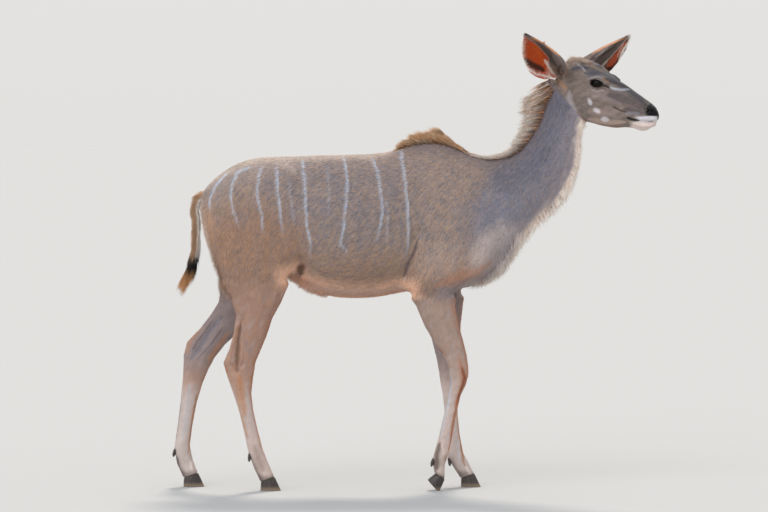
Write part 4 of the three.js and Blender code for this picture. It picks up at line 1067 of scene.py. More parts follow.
def ear_colours(points, normals, photo, name):
    """Orange and dark inside, dark grey-brown outside, pale at the rims."""
    root, tip = EAR_AXES[name]
    axis = tip - root
    share = (points - root) @ axis / (axis @ axis)
    near = name == "ear_right"
    shaky = photo + 0.5 * np.stack([ripple(points, 0.008, 26), ripple(points, 0.009, 27)], 1)
    shown = ease(-(normals @ FORWARD), -0.1, 0.15)
    in_photo = ease(side_of(shaky, CUP_EDGES[name]), -0.9, 0.9)
    inside = ear_inside(normals, name) * (1 - shown) + shown * in_photo
    back = np.tile(EAR_GREY, (len(points), 1))
    back = blend_to(back, EAR_ROOT_TAN, 0.7 * ease(share, 0.3, 0.08))
    towards_tip = ease(share + 0.1 * ripple(points, 0.02, 28), 0.5, 0.9)
    back = blend_to(back, EAR_DARK, 0.5 * (1 - shown) * towards_tip)
    cup = np.tile(EAR_ORANGE, (len(points), 1))
    low = (points - root) @ EAR_LOW[name]
    patch = ease(low + 0.006 * ripple(points, 0.02, 11), 0.012, 0.026)
    cup = blend_to(cup, CUP_DARK, 0.9 * patch * (0 if near else 1))
    cup = blend_to(cup, CUP_ROOT_PALE, 0.7 * ease(share, 0.22, 0.1))
    cup = marked(cup, shaky, NEAR_CUP_MARKS if near else FAR_CUP_MARKS, shown, fade=0.2, core=0.3)
    back = marked(back, shaky, NEAR_BACK_MARKS if near else FAR_BACK_MARKS, shown, fade=0.2, core=0.1)
    hairs = ripple(np.stack([photo @ (0.8, 0.6), photo @ (-0.08, 0.1), share], 1), 2.2, 20)
    cup = blend_to(cup, CUP_HAIR, 0.35 * ease(hairs, 0.3, 1.0) * ease(share, 0.95, 0.6))
    mixed = back + (cup - back) * inside[:, None]
    mixed = blend_to(mixed, EAR_EDGE_PALE, (0.3 if near else 0.75) * (1 - np.abs(2 * inside - 1)))
    to_rim, _ = reach(shaky, PALE_RIMS[name])
    mixed = blend_to(mixed, EAR_RIM_WHITE, 0.9 * ease(to_rim, 1.9, 0.5))
    return blend_to(mixed, NEAR_TIP_DARK if near else FAR_TIP_PALE, 0.8 * ease(share, 0.93, 0.99))


def ear_inside(normals, name):
    return ease(normals @ EAR_OPENING[name], -0.05, 0.25)


def laid(colours, share, maker, *fields):
    """Blends in the colours that a maker gives, where their share is over 0."""
    pick = (share > 0).nonzero()[0]
    mine = maker(*(field[pick] for field in fields))
    colours[pick] += (mine - colours[pick]) * share[pick, None]


def coat_colours(points, normals, soft, scatter=0.0):
    """The colour of the coat at any place of the skin, as linear values; scatter sets single hairs apart."""
    on_head = (soft["head"] + soft["ear"]) > 0.5
    photo = to_photo(near_side(points, on_head))
    here = to_photo(points)
    legs = ease(soft["leg"] + soft["shank"], 0.05, 0.95)
    face = ease(soft["head"], 0.1, 0.9)
    legs *= ease(points[:, 2], 0.8, 0.66)
    apart = scatter * rng.uniform(-1, 1, len(points))
    colours = np.tile(TAN, (len(points), 1))
    laid(colours, np.where((legs < 1) & (face < 1), 1.0, 0.0), body_colours, points, normals, photo, apart)
    laid(colours, legs, leg_colours, points, normals, here)
    laid(colours, face, head_colours, points, normals, photo)
    ears = ease(soft["ear"], 0.15, 0.6)
    for name, own_side in (("ear_right", points[:, 1] < EAR_SPLIT), ("ear_left", points[:, 1] >= EAR_SPLIT)):
        pick = (own_side & (ears > 0)).nonzero()[0]
        mine = ear_colours(points[pick], normals[pick], here[pick], name)
        colours[pick] += (mine - colours[pick]) * ears[pick, None]
    shade = 1 + 0.1 * ripple(points, 0.012, 12) + 0.07 * ripple(points, 0.04, 13)
    return np.clip(colours * shade[:, None], 0.003, 1)


# The lie of the hair: places in the photo and the way the hair points there, forwards and upwards.
LIE = [
    ((555, 110), (-0.25, -0.97)), ((580, 130), (-0.3, -0.95)), ((540, 180), (-0.45, -0.9)),
    ((500, 200), (-0.5, -0.85)), ((520, 235), (-0.3, -0.95)), ((570, 180), (-0.1, -1)),
    ((480, 165), (-0.8, -0.6)), ((440, 150), (-0.95, -0.3)), ((440, 200), (-0.6, -0.8)),
    ((430, 260), (-0.4, -0.9)), ((480, 270), (-0.5, -0.85)), ((380, 170), (-0.95, -0.3)),
    ((360, 220), (-0.8, -0.6)), ((350, 280), (-0.95, -0.3)), ((300, 170), (-0.95, -0.3)),
    ((300, 230), (-0.6, -0.8)), ((250, 170), (-0.9, -0.45)), ((260, 230), (-0.5, -0.87)),
    ((225, 200), (-0.45, -0.9)), ((215, 250), (-0.1, -1)), ((250, 300), (-0.2, -0.98)),
    ((200, 193), (-0.5, -0.85)), ((320, 295), (-1, -0.1)),
]


def lie_field(points, normals, soft, names, ring):
    """The way the hair points at each corner of the skin, along the skin."""
    on_head = (soft["head"] + soft["ear"]) > 0.5
    photo = to_photo(near_side(points, on_head))
    total = np.zeros((len(points), 3))
    for at, (ahead, up) in LIE:
        weight = 1 / (np.linalg.norm(photo - at, axis=1) ** 2 + 30) ** 1.5
        total += weight[:, None] * np.array((ahead, 0, up))
    way = unit(total)
    here = to_photo(points)
    for leg, path in LEG_PATHS.items():
        pick = np.char.startswith(names, leg)
        steps = unit(np.diff(np.asarray(path, float), axis=0)) * (1, -1)
        _, share = reach(here[pick], path)
        index = np.minimum((share * len(steps)).astype(int), len(steps) - 1)
        way[pick] = np.stack([steps[index, 0], np.zeros(pick.sum()), steps[index, 1]], 1)
    own = in_own(points)
    back = np.array((-1.0, 0, -0.12)) @ HEAD_ARRAY[:3, :3].T
    down = np.array((-0.75, 0, -0.65)) @ HEAD_ARRAY[:3, :3].T
    cheek = ease(own[:, 2] + 0.3 * own[:, 0], 30, -40)[:, None]
    face = ease(soft["head"], 0.3, 0.8)[:, None]
    way = way * (1 - face) + face * unit(back * (1 - cheek) + down * cheek)
    for name, (root, tip) in EAR_AXES.items():
        pick = (soft["ear"] > 0.5) & ((points[:, 1] < EAR_SPLIT) == (name == "ear_right"))
        way[pick] = unit(tip - root)
    way = ring.soften(way, 8)
    return unit(way - normals * (way * normals).sum(1, keepdims=True))


# Tufts: every one is a strip of its own that tapers to a point, rooted in the skin.
ROOF = [(-0.5, 0.0), (0.0, 0.3), (0.5, 0.0)]
LOCK = [(-0.5, 0.0), (0.0, 0.32), (0.5, 0.0), (0.0, -0.32)]
PIECE_TRIANGLES = 190_000


# In shares of the unwrap: the margin, the length of each of its four sides, and a tuft's patch on it.
BAKE_MARGIN = 0.01
BAKE_SIDE = 0.48
BAKE_PATCH = 0.003


def bake_places(points, normals):
    """An unwrap of the skin: its four sides, outer and inner, right and left, laid in a square."""
    low, high = np.array(cad_box[0]), np.array(cad_box[1])
    share = (points - low) / (high - low)
    left = points[:, 1] > 0
    inner = (np.sign(points[:, 1]) * normals[:, 1] < -0.1) & (points[:, 2] < 0.8)
    u = BAKE_MARGIN + BAKE_SIDE * share[:, 0] + 0.5 * left
    v = BAKE_MARGIN + BAKE_SIDE * share[:, 2] + 0.5 * inner
    return np.stack([u, v], 1)


def tufts(name, material, root, normal, first, last, length, width, root_colour, tip_colour,
          profile=ROOF, steps=2, sunk=0.8 * MM, tint=None):
    """Strips of hair that leave their roots in the first direction and end in the last one."""
    count = len(root)
    side = unit(np.cross(first, normal) + 1e-6)
    flat = np.array(profile)
    places = []
    colours = []
    patches = []
    shares = np.linspace(0, 1, steps + 1)
    for share in shares[:-1]:
        middle_line = root - normal * sunk + length[:, None] * (first * share + (last - first) * share**2 / 2)
        thick = unit(np.cross(side, first + (last - first) * share))
        thick *= np.sign((thick * normal).sum(1, keepdims=True) + 1e-6)
        full = width * (1 - share**1.7) * (0.8 + 0.6 * share * (1 - share))
        for across, up in flat:
            places.append(middle_line + (side * across + thick * up) * full[:, None])
            colours.append(tint(share) if tint else root_colour + (tip_colour - root_colour) * share**1.6)
            patches.append((across, share - 0.5))
    places.append(root - normal * sunk + length[:, None] * (first + (last - first) / 2))
    colours.append(tint(1.0) if tint else tip_colour)
    patches.append((0.0, 0.5))
    each = len(places)
    stack = np.stack(places, 1).reshape(-1, 3)
    paint = np.stack(colours, 1).reshape(-1, 3)
    uv = bake_places(root, normal)[:, None, :] + np.array(patches)[None] * BAKE_PATCH
    uv = uv.reshape(-1, 2)

    size = len(profile)
    closed = profile is LOCK
    faces = []
    for step in range(steps):
        for k in range(size if closed else size - 1):
            a = step * size + k
            b = step * size + (k + 1) % size
            if step == steps - 1:
                faces.append((a, b, each - 1))
            else:
                faces += [(a, b, b + size), (a, b + size, a + size)]
    faces = np.array(faces)
    per_piece = max(1, PIECE_TRIANGLES // len(faces))
    parts = math.ceil(count / per_piece)
    for part in range(parts):
        chosen = np.arange(part, count, parts)
        corners = (chosen[:, None] * each + np.arange(each)).ravel()
        triangles = (np.arange(len(chosen))[:, None, None] * each + faces).reshape(-1, 3)
        label = name if parts == 1 else f"{name}_{part + 1}"
        made = object_from(label, mesh_of(label, stack[corners], triangles), material)
        paint_mesh(made.data, paint[corners])
        map_mesh(made.data, uv[corners])
        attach(made, "root")


def mesh_of(name, corners, triangles):
    """A smooth mesh from arrays of corners and triangles."""
    mesh = bpy.data.meshes.new(name)
    mesh.vertices.add(len(corners))
    mesh.vertices.foreach_set("co", corners.ravel().astype(np.float32))
    mesh.loops.add(triangles.size)
    mesh.loops.foreach_set("vertex_index", triangles.ravel().astype(np.int32))
    mesh.polygons.add(len(triangles))
    mesh.polygons.foreach_set("loop_start", np.arange(0, triangles.size, 3, dtype=np.int32))
    mesh.polygons.foreach_set("use_smooth", np.ones(len(triangles), bool))
    mesh.update(calc_edges=True)
    return mesh


def grid_triangles(rings, around, closed=False):
    """The triangles between rings of corners; closed joins the last ring to the first."""
    start = np.arange(rings if closed else rings - 1)[:, None] * around
    turn = np.arange(around)[None]
    a, b = (start + turn).ravel(), (start + (turn + 1) % around).ravel()
    c, d = (a + around) % (rings * around), (b + around) % (rings * around)
    return np.concatenate([np.stack([a, b, d], 1), np.stack([a, d, c], 1)])


def paint_mesh(mesh, colours):
    """Gives each corner its colour, as linear values."""
    layer = mesh.color_attributes.new("Coat", "FLOAT_COLOR", "POINT")
    full = np.ones((len(colours), 4), np.float32)
    full[:, :3] = colours
    layer.data.foreach_set("color", full.ravel())


def map_mesh(mesh, uv):
    """Gives the mesh its place on the unwrap of the skin."""
    layer = mesh.uv_layers.new(name="OFBake")
    corner = np.zeros(len(mesh.loops), np.int32)
    mesh.loops.foreach_get("vertex_index", corner)
    layer.data.foreach_set("uv", uv[corner].ravel().astype(np.float32))


class Ground:
    """The skin as triangles, to take roots from."""

    def __init__(self, mesh, **fields):
        mesh.calc_loop_triangles()
        triangles = np.zeros(len(mesh.loop_triangles) * 3, np.int32)
        mesh.loop_triangles.foreach_get("vertices", triangles)
        self.triangles = triangles.reshape(-1, 3)
        self.fields = fields
        a, b, c = (fields["point"][self.triangles[:, k]] for k in range(3))
        self.area = np.linalg.norm(np.cross(b - a, c - a), axis=1) / 2

    def roots(self, density):
        """Random places with so many to the square metre, and every field there."""
        amount = self.area * density[self.triangles].mean(1)
        total = np.cumsum(amount)
        count = int(total[-1])
        picks = (np.arange(count) + rng.uniform(size=count)) * total[-1] / max(count, 1)
        chosen = self.triangles[np.searchsorted(total, picks).clip(0, len(total) - 1)]
        r, s = rng.uniform(size=(2, count))
        over = r + s > 1
        r[over], s[over] = 1 - r[over], 1 - s[over]
        shares = np.stack([1 - r - s, r, s], 1)
        found = {}
        for key, values in self.fields.items():
            if values.dtype.kind == "U":
                found[key] = values[chosen[:, 0]]
            elif values.ndim == 1:
                found[key] = (values[chosen] * shares).sum(1)
            else:
                found[key] = (values[chosen] * shares[:, :, None]).sum(1)
        found["normal"] = unit(found["normal"])
        way = found["way"]
        found["way"] = unit(way - found["normal"] * (way * found["normal"]).sum(1, keepdims=True))
        return found


# Materials.

def add(tree, kind, inputs=(), **settings):
    """One node with its settings; each input is a value or the socket that feeds it."""
    made = tree.nodes.new(kind)
    for key, value in settings.items():
        setattr(made, key, value)
    for key, value in dict(inputs).items():
        if isinstance(value, bpy.types.NodeSocket):
            tree.links.new(value, made.inputs[key])
        else:
            made.inputs[key].default_value = value
    return made


def new_material(name):
    made = bpy.data.materials.new(name)
    made.use_nodes = True
    made.node_tree.nodes.clear()
    return made, made.node_tree


def finished(tree, inputs):
    shader = add(tree, "ShaderNodeBsdfPrincipled", inputs)
    add(tree, "ShaderNodeOutputMaterial", {"Surface": shader.outputs["BSDF"]})


def hair_material():
    """Guard hair of an antelope: dull keratin, with a soft gleam where it bends from the light."""
    made, tree = new_material("antelope_hair")
    colour = add(tree, "ShaderNodeVertexColor", layer_name="Coat")
    finished(tree, {"Base Color": colour.outputs["Color"], "Roughness": 0.62, "IOR": 1.55,
                    "Specular IOR Level": 0.13, "Sheen Weight": 0.03, "Sheen Roughness": 0.5})
    return made


HAIR_SPACING = 1.2 * MM  # real hairs are under 0.1 mm, drawn this coarse so that they show


def skin_material():
    """Short hair that lies flat: the same dull keratin, with fine relief."""
    made, tree = new_material("short_coat")
    colour = add(tree, "ShaderNodeVertexColor", layer_name="Coat")
    place = add(tree, "ShaderNodeTexCoord")
    grain = add(tree, "ShaderNodeTexNoise", {"Vector": place.outputs["Object"], "Scale": 1 / HAIR_SPACING / 2,
                                             "Detail": 3.0, "Roughness": 0.6})
    shade = add(tree, "ShaderNodeMapRange", {"Value": grain.outputs["Fac"], "From Min": 0.3, "From Max": 0.7,
                                             "To Min": 0.86, "To Max": 1.12})
    tinted = add(tree, "ShaderNodeVectorMath", {0: colour.outputs["Color"], "Scale": shade.outputs["Result"]},
                 operation="SCALE")
    bump = add(tree, "ShaderNodeBump", {"Height": grain.outputs["Fac"], "Strength": 0.35,
                                        "Distance": 0.6 * MM})
    finished(tree, {"Base Color": tinted.outputs["Vector"], "Roughness": 0.68, "IOR": 1.55,
                    "Specular IOR Level": 0.1, "Sheen Weight": 0.03, "Sheen Roughness": 0.5,
                    "Normal": bump.outputs["Normal"]})
    return made


def nose_material():
    """Bare leather of the nose: finely pebbled and moist, so it shines softly."""
    made, tree = new_material("nose_leather")
    colour = add(tree, "ShaderNodeVertexColor", layer_name="Coat")
    place = add(tree, "ShaderNodeTexCoord")
    pebbles = add(tree, "ShaderNodeTexVoronoi", {"Vector": place.outputs["Object"], "Scale": 1 / (1.6 * MM)})
    bump = add(tree, "ShaderNodeBump", {"Height": pebbles.outputs["Distance"], "Strength": 0.4,
                                        "Distance": 0.4 * MM})
    finished(tree, {"Base Color": colour.outputs["Color"], "Roughness": 0.36, "IOR": 1.45,
                    "Specular IOR Level": 0.16, "Normal": bump.outputs["Normal"]})
    return made


def horn_material():
    """Hoof horn: keratin worn matt, streaked down the wall and dusty."""
    made, tree = new_material("hoof_horn")
    colour = add(tree, "ShaderNodeVertexColor", layer_name="Coat")
    place = add(tree, "ShaderNodeTexCoord")
    grain = add(tree, "ShaderNodeTexNoise", {"Vector": place.outputs["Object"], "Scale": 1 / (2.5 * MM),
                                             "Detail": 4.0, "Roughness": 0.65})
    bump = add(tree, "ShaderNodeBump", {"Height": grain.outputs["Fac"], "Strength": 0.3,
                                        "Distance": 0.5 * MM})
    rough = add(tree, "ShaderNodeMapRange", {"Value": grain.outputs["Fac"], "To Min": 0.42, "To Max": 0.66})
    finished(tree, {"Base Color": colour.outputs["Color"], "Roughness": rough.outputs["Result"], "IOR": 1.55,
                    "Normal": bump.outputs["Normal"]})
    return made


def eye_material():
    """A wet eye: a dark iris under a clear, very smooth cornea."""
    made, tree = new_material("wet_eye")
    colour = add(tree, "ShaderNodeVertexColor", layer_name="Coat")
    finished(tree, {"Base Color": colour.outputs["Color"], "Roughness": 0.08, "IOR": 1.376,
                    "Specular IOR Level": 0.2})
    return made


hair = hair_material()
short_coat = skin_material()
nose_leather = nose_material()
hoof_horn = horn_material()
wet_eye = eye_material()


# The skin as an object.

skin_mesh, skin, skin_normals, skin_soft, skin_ring, skin_names = shaped_skin()
skin_object = object_from("skin", skin_mesh, short_coat, nose_leather)
skin_mesh.polygons.foreach_set("use_smooth", np.ones(len(skin_mesh.polygons), bool))
skin_colours = coat_colours(skin, skin_normals, skin_soft)
paint_mesh(skin_mesh, skin_colours)
bare_nose = nose_share(in_own(skin)) * skin_soft["head"]
corner_of_loop = np.zeros(len(skin_mesh.loops), np.int32)
skin_mesh.loops.foreach_get("vertex_index", corner_of_loop)
loop_starts = np.zeros(len(skin_mesh.polygons), np.int32)
skin_mesh.polygons.foreach_get("loop_start", loop_starts)
slots = (bare_nose[corner_of_loop[loop_starts]] > 0.5).astype(np.int32)
skin_mesh.polygons.foreach_set("material_index", slots)
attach(skin_object, "root")
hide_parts(*[name for name in FLESH if not name.startswith("eye_")])

skin_way = lie_field(skin, skin_normals, skin_soft, skin_names, skin_ring)
ground = Ground(skin_mesh, point=skin, normal=skin_normals, way=skin_way, names=skin_names,
                **{"soft_" + key: value for key, value in skin_soft.items()})


# The short coat.

def jitter(count, amount):
    return 1 + amount * rng.uniform(-1, 1, count)


def painted_roots(found, scatter=0.0):
    soft = {key: found["soft_" + key] for key in skin_soft}
    return coat_colours(found["point"], found["normal"], soft, scatter)


WARM_OR_COOL = np.array((0.08, 0.0, -0.08))  # how much a tuft may differ from its neighbours


def short_hair(name, density, length, width, steps, start=0.28, end=0.05):
    """Flat tufts over part of the skin: millimetres at each corner, and how far they lift in radians."""
    ground.fields["length"] = length
    ground.fields["width"] = width
    found = ground.roots(density)
    count = len(found["point"])
    base = painted_roots(found, 0.45)
    shade = jitter(count, 0.2)[:, None] * (1 + rng.uniform(-1, 1, (count, 1)) * WARM_OR_COOL)
    way = turned(found, 0.16)
    first = raised(way, found["normal"], start * jitter(count, 0.5))
    last = raised(turned(found, 0.2), found["normal"], end * jitter(count, 1.0))
    tufts(name, hair, found["point"], found["normal"], first, last,
          found["length"] * MM * jitter(count, 0.25), found["width"] * MM * jitter(count, 0.25),
          base * shade * 0.8, np.clip(base * shade * 1.18, 0, 1), steps=steps)


def raised(way, normal, angle):
    """Directions along the skin, lifted off it by an angle in radians."""
    return way * np.cos(angle)[:, None] + normal * np.sin(angle)[:, None]


def turned(found, spread):
    """The lie of each tuft, turned a little to one side or the other."""
    angle = spread * rng.normal(size=len(found["way"]))
    across = np.cross(found["normal"], found["way"])
    return unit(found["way"] * np.cos(angle)[:, None] + across * np.sin(angle)[:, None])


skin_photo = to_photo(near_side(skin, (skin_soft["head"] + skin_soft["ear"]) > 0.5))
bald = np.clip(bare_nose, 0, 1)
off_head = 1 - ease(skin_soft["head"] + skin_soft["ear"], 0.3, 0.7)
off_leg = 1 - ease(skin_soft["leg"] + skin_soft["shank"], 0.3, 0.7)
share_of_coat = 1.0

# Tufts to the square metre of skin.
BODY_TUFTS = 46_000
LEG_TUFTS = 120_000
FACE_TUFTS = 250_000
EAR_TUFTS = 140_000

body_length = 13 + 6 * ease(skin_photo[:, 1], 262, 300)
body_density = BODY_TUFTS * off_head * off_leg * share_of_coat
short_hair("coat_body", body_density, body_length, np.full(len(skin), 2.0), 2)
leg_length = 6 + 5 * ease(skin[:, 2], 0.3, 0.65)
leg_width = 1.2 + 0.6 * ease(skin[:, 2], 0.3, 0.65)
short_hair("coat_legs", LEG_TUFTS * off_head * (1 - off_leg) * share_of_coat, leg_length, leg_width, 1)

skin_own = in_own(skin)
face_length = 3.2 + 4.0 * ease(-skin_own[:, 0], -230, -40)
by_lids = by_the_lids(skin_own, 1.35, 1.18)
face_share = ease(skin_soft["head"], 0.3, 0.7) * (1 - bald) * (1 - by_lids)
face_density = FACE_TUFTS * face_share * share_of_coat
short_hair("coat_head", face_density, face_length, np.full(len(skin), 1.0), 1, start=0.2, end=0.04)
ear_density = EAR_TUFTS * ease(skin_soft["ear"], 0.3, 0.7) * share_of_coat
short_hair("coat_ears", ear_density, np.full(len(skin), 6.0), np.full(len(skin), 1.1), 1)


# Long hair: mane, crest, throat, belly and thighs. Each line is a place in the photo, the way the hair starts
# and ends there, forwards and upwards, and its length in millimetres.
MANE = [
    ((396, 151), (-0.9, 0.35), (-1, 0.0), 16),
    ((408, 146), (-0.85, 0.5), (-0.95, 0.2), 32),
    ((428, 140), (-0.75, 0.66), (-0.9, 0.35), 46),
    ((445, 141), (-0.65, 0.76), (-0.85, 0.45), 52),
    ((458, 146), (-0.6, 0.8), (-0.85, 0.5), 55),
    ((466, 151), (-0.65, 0.75), (-0.9, 0.4), 42),
    ((476, 155), (-0.8, 0.6), (-1, 0.1), 30),
    ((490, 158), (-0.85, 0.5), (-1, 0.0), 28),
    ((505, 156), (-0.85, 0.5), (-1, -0.05), 32),
    ((518, 150), (-0.85, 0.35), (-0.95, -0.2), 38),
    ((530, 135), (-0.95, 0.2), (-0.95, -0.3), 48),
    ((538, 120), (-1, 0.1), (-0.93, -0.35), 58),
    ((545, 105), (-1, 0.0), (-0.9, -0.45), 68),
    ((550, 95), (-0.95, -0.1), (-0.8, -0.6), 78),
    ((556, 82), (-0.85, -0.4), (-0.7, -0.72), 80),
]
THROAT = [
    ((584, 130), (0.45, -0.9), (0.1, -1), 26),
    ((583, 155), (0.5, -0.85), (0.1, -1), 32),
    ((572, 188), (0.5, -0.85), (0.1, -1), 38),
    ((552, 215), (0.45, -0.9), (0.05, -1), 42),
    ((525, 240), (0.4, -0.9), (0.0, -1), 42),
    ((510, 265), (0.45, -0.9), (-0.1, -1), 40),
    ((490, 286), (0.2, -1), (-0.5, -0.85), 30),
    ((465, 296), (-0.3, -0.95), (-0.8, -0.6), 20),
]
EDGES = [
    ((398, 297), (-0.8, -0.6), (-1, -0.1), 12),
    ((350, 300), (-0.8, -0.6), (-1, -0.1), 14),
    ((322, 296), (-0.6, -0.8), (-0.9, -0.4), 24),
    ((305, 288), (-0.5, -0.85), (-0.8, -0.6), 34),
    ((294, 278), (-0.5, -0.85), (-0.8, -0.6), 28),
    ((222, 290), (-0.6, -0.8), (-0.3, -0.95), 24),
    ((208, 250), (-0.7, -0.7), (-0.3, -0.95), 22),
    ((202, 215), (-0.7, -0.7), (-0.3, -0.95), 20),
]
BUTTOCK_LINE = [(200, 200), (206, 240), (214, 270), (226, 298)]
GROIN_FRINGE = [(293, 279), (305, 288), (322, 297)]


def guided(found, guide, own_places):
    """First and last directions and lengths of hair from the lines of a guide."""
    points = found["point"]
    photo = to_photo(points if own_places else near_side(points, np.zeros(len(points), bool)))
    weights = np.stack([1 / (np.linalg.norm(photo - at, axis=1) ** 2 + 6) ** 1.6 for at, *_ in guide], 1)
    weights /= weights.sum(1, keepdims=True)
    first = unit(weights @ np.array([(a, 0, b) for _, (a, b), _, _ in guide]))
    last = unit(weights @ np.array([(a, 0, b) for _, _, (a, b), _ in guide]))
    return first, last, weights @ np.array([length for *_, length in guide], float), photo


def long_hair(name, guide, density, spread, splay, width, colours, own_places=False):
    """Long hair over part of the skin: spread turns single hairs, splay leans them from the middle plane.

    With own_places a guide holds for the side that it was drawn on, and otherwise for both sides.
    """
    found = ground.roots(density * share_of_coat)
    count = len(found["point"])
    first, last, length, photo = guided(found, guide, own_places)
    outward = np.zeros((count, 3))
    outward[:, 1] = splay * found["point"][:, 1] / 0.02 + spread * rng.normal(size=count)
    wander = spread * rng.normal(size=(count, 3))
    first = unit(first + outward + 0.5 * wander)
    last = unit(last + 1.5 * outward + wander)
    root_colour, tip_colour = colours(found, photo, count)
    shade = jitter(count, 0.22)[:, None]
    tufts(name, hair, found["point"], found["normal"], first, last, length * MM * jitter(count, 0.25),
          width * MM * jitter(count, 0.35), root_colour * shade, np.clip(tip_colour * shade, 0, 1),
          profile=LOCK, steps=3, sunk=(1 if own_places else 3) * MM)


def chosen_between(count, share, one, other):
    """Rows of one colour or the other, at random by share."""
    return np.where((rng.uniform(size=count) < share)[:, None], one, other)


# Pairs of tones that single hairs have at their roots or at their tips.
MANE_ROOTS = (linear("#5a4031"), linear("#a3704a"))
MANE_TIPS = (linear("#fff4ea"), linear("#ecb98c"))
CREST_ROOTS = (linear("#4a382f"), linear("#7a5a45"))
CREST_TIPS = (linear("#f8dcb8"), linear("#c99264"))
THROAT_TIPS = (linear("#fff6ee"), linear("#f0d6c4"))
CROWN_TIPS = (linear("#e9dccf"), linear("#c79468"))


def mane_colours(found, photo, count):
    low = ease(photo[:, 0], 556, 520)
    root = chosen_between(count, 0.5 + 0.3 * low, *MANE_ROOTS)
    tip = chosen_between(count, 0.7 + 0.25 * low, *MANE_TIPS)
    return root, tip


def crest_colours(found, photo, count):
    root = chosen_between(count, 0.7, *CREST_ROOTS)
    tip = chosen_between(count, 0.4, *CREST_TIPS)
    return root, tip


def cream_and_glow_colours(found, photo, count):
    # The roots are brighter than the coat beneath them: painted glow of light shining through the pale
    # fringe.
    soft = painted_roots(found)
    return np.clip(soft * 1.15, 0, 1), chosen_between(count, 0.8, *THROAT_TIPS)


def coat_tips(found, photo, count):
    """The coat's own colour, paler at the tips, most so on the rear edge of the thigh, where the cream tips
    are painted rim light.
    """
    soft = painted_roots(found)
    return soft, blend_to(soft * 1.1, CREAM, 0.12 + 0.6 * ease(photo[:, 0], 226, 212))


def photo_band(path, far, near):
    """1 near a path in the photo, 0 past it, at each corner of the skin, and 0 on head and ears."""
    gap, _ = reach(skin_photo, path)
    return ease(gap, far, near) * off_head


# Long hairs to the square metre of skin.
CREST_HAIRS = 260_000
MANE_HAIRS = 230_000
THROAT_HAIRS = 65_000
FRINGE_HAIRS = 60_000
CROWN_HAIRS = 160_000
EAR_HAIRS = 150_000

spine = ease(np.abs(skin[:, 1]), 17 * MM, 9 * MM) * photo_band(TOP_LINE, 12, 5)
withers = spine * ease(skin_photo[:, 0], 395, 404) * ease(skin_photo[:, 0], 476, 466)
nape = spine * ease(skin_photo[:, 0], 466, 476)
long_hair("crest", MANE, CREST_HAIRS * withers, 0.10, 0.10, 2.4, crest_colours)
long_hair("mane", MANE, MANE_HAIRS * nape, 0.12, 0.16, 2.6, mane_colours)
front = photo_band(THROAT_LINE, 15, 6) * ease(np.abs(skin_normals[:, 1]), 0.95, 0.75) * off_leg
front = front * ease(skin_photo[:, 0], 466, 484)
long_hair("throat_fringe", THROAT, THROAT_HAIRS * front, 0.22, 0.05, 2.2, cream_and_glow_colours)
edge = photo_band(BUTTOCK_LINE, 8, 3) * ease(-skin_normals[:, 0], 0.0, 0.5)
groin_edge = photo_band(GROIN_FRINGE, 9, 4) * ease(-skin_normals[:, 2], 0.0, 0.5)
fringe = FRINGE_HAIRS * np.maximum(edge, groin_edge)
long_hair("thigh_and_belly_fringe", EDGES, fringe, 0.22, 0.0, 2.0, coat_tips)


# Hair of the crown and along the rims of the ears.
CROWN = [
    ((556, 82), (-0.7, 0.3), (-0.95, -0.1), 13),
    ((561, 73), (-0.7, 0.5), (-0.95, 0.1), 13),
    ((566, 62), (-0.6, 0.7), (-0.9, 0.2), 14),
    ((574, 60), (-0.3, 0.9), (-0.8, 0.5), 22),
    ((582, 60), (-0.2, 0.95), (-0.75, 0.55), 20),
    ((590, 63), (-0.3, 0.75), (-0.9, 0.2), 15),
    ((600, 68), (-0.5, 0.6), (-0.95, 0.1), 10),
]
CROWN_LINE = [(564, 62), (578, 61), (592, 64), (606, 71)]
POLL_LINE = [(554, 86), (559, 77), (565, 65)]
NEAR_EAR_HAIR = [
    ((546, 62), (-0.5, 0.8), (-0.85, 0.5), 16),
    ((552, 70), (-0.6, 0.75), (-0.9, 0.4), 24),
    ((558, 78), (-0.6, 0.6), (-0.95, 0.3), 22),
    ((545, 77), (0.1, 0.9), (-0.2, 1.0), 12),
    ((530, 72), (0.4, 0.8), (0.5, 0.8), 9),
    ((523, 60), (0.8, 0.4), (0.8, 0.5), 9),
    ((522, 46), (0.9, 0.0), (0.9, 0.2), 10),
    ((526, 37), (0.8, -0.5), (0.7, -0.6), 8),
]
NEAR_EAR_RIM = [
    (553, 80), (546, 77.5), (537, 75), (528, 69), (523, 60), (521.5, 48), (524, 37), (532, 39), (541, 46),
    (547, 56), (549, 64), (556, 76),
]
FAR_EAR_HAIR = [
    ((603, 68), (0.4, 0.7), (0.7, 0.7), 15),
    ((610, 58), (0.5, 0.5), (0.7, 0.6), 11),
    ((620, 60), (-0.2, 0.9), (0.1, 1.0), 10),
    ((630, 38), (0.2, 0.9), (0.5, 0.9), 9),
]
FAR_EAR_RIM = [(602, 68), (607, 60), (613, 53), (622, 44), (630, 37), (625, 49), (620, 60), (616, 70)]


def crown_colours(found, photo, count):
    root = painted_roots(found)
    tip = chosen_between(count, 0.4, *CROWN_TIPS)
    return root, chosen_between(count, 0.45, root * 0.9, tip)


def rim_colours(found, photo, count):
    soft = painted_roots(found)
    return soft, np.clip(soft * 0.4 + 0.6 * CREAM, 0, 1)


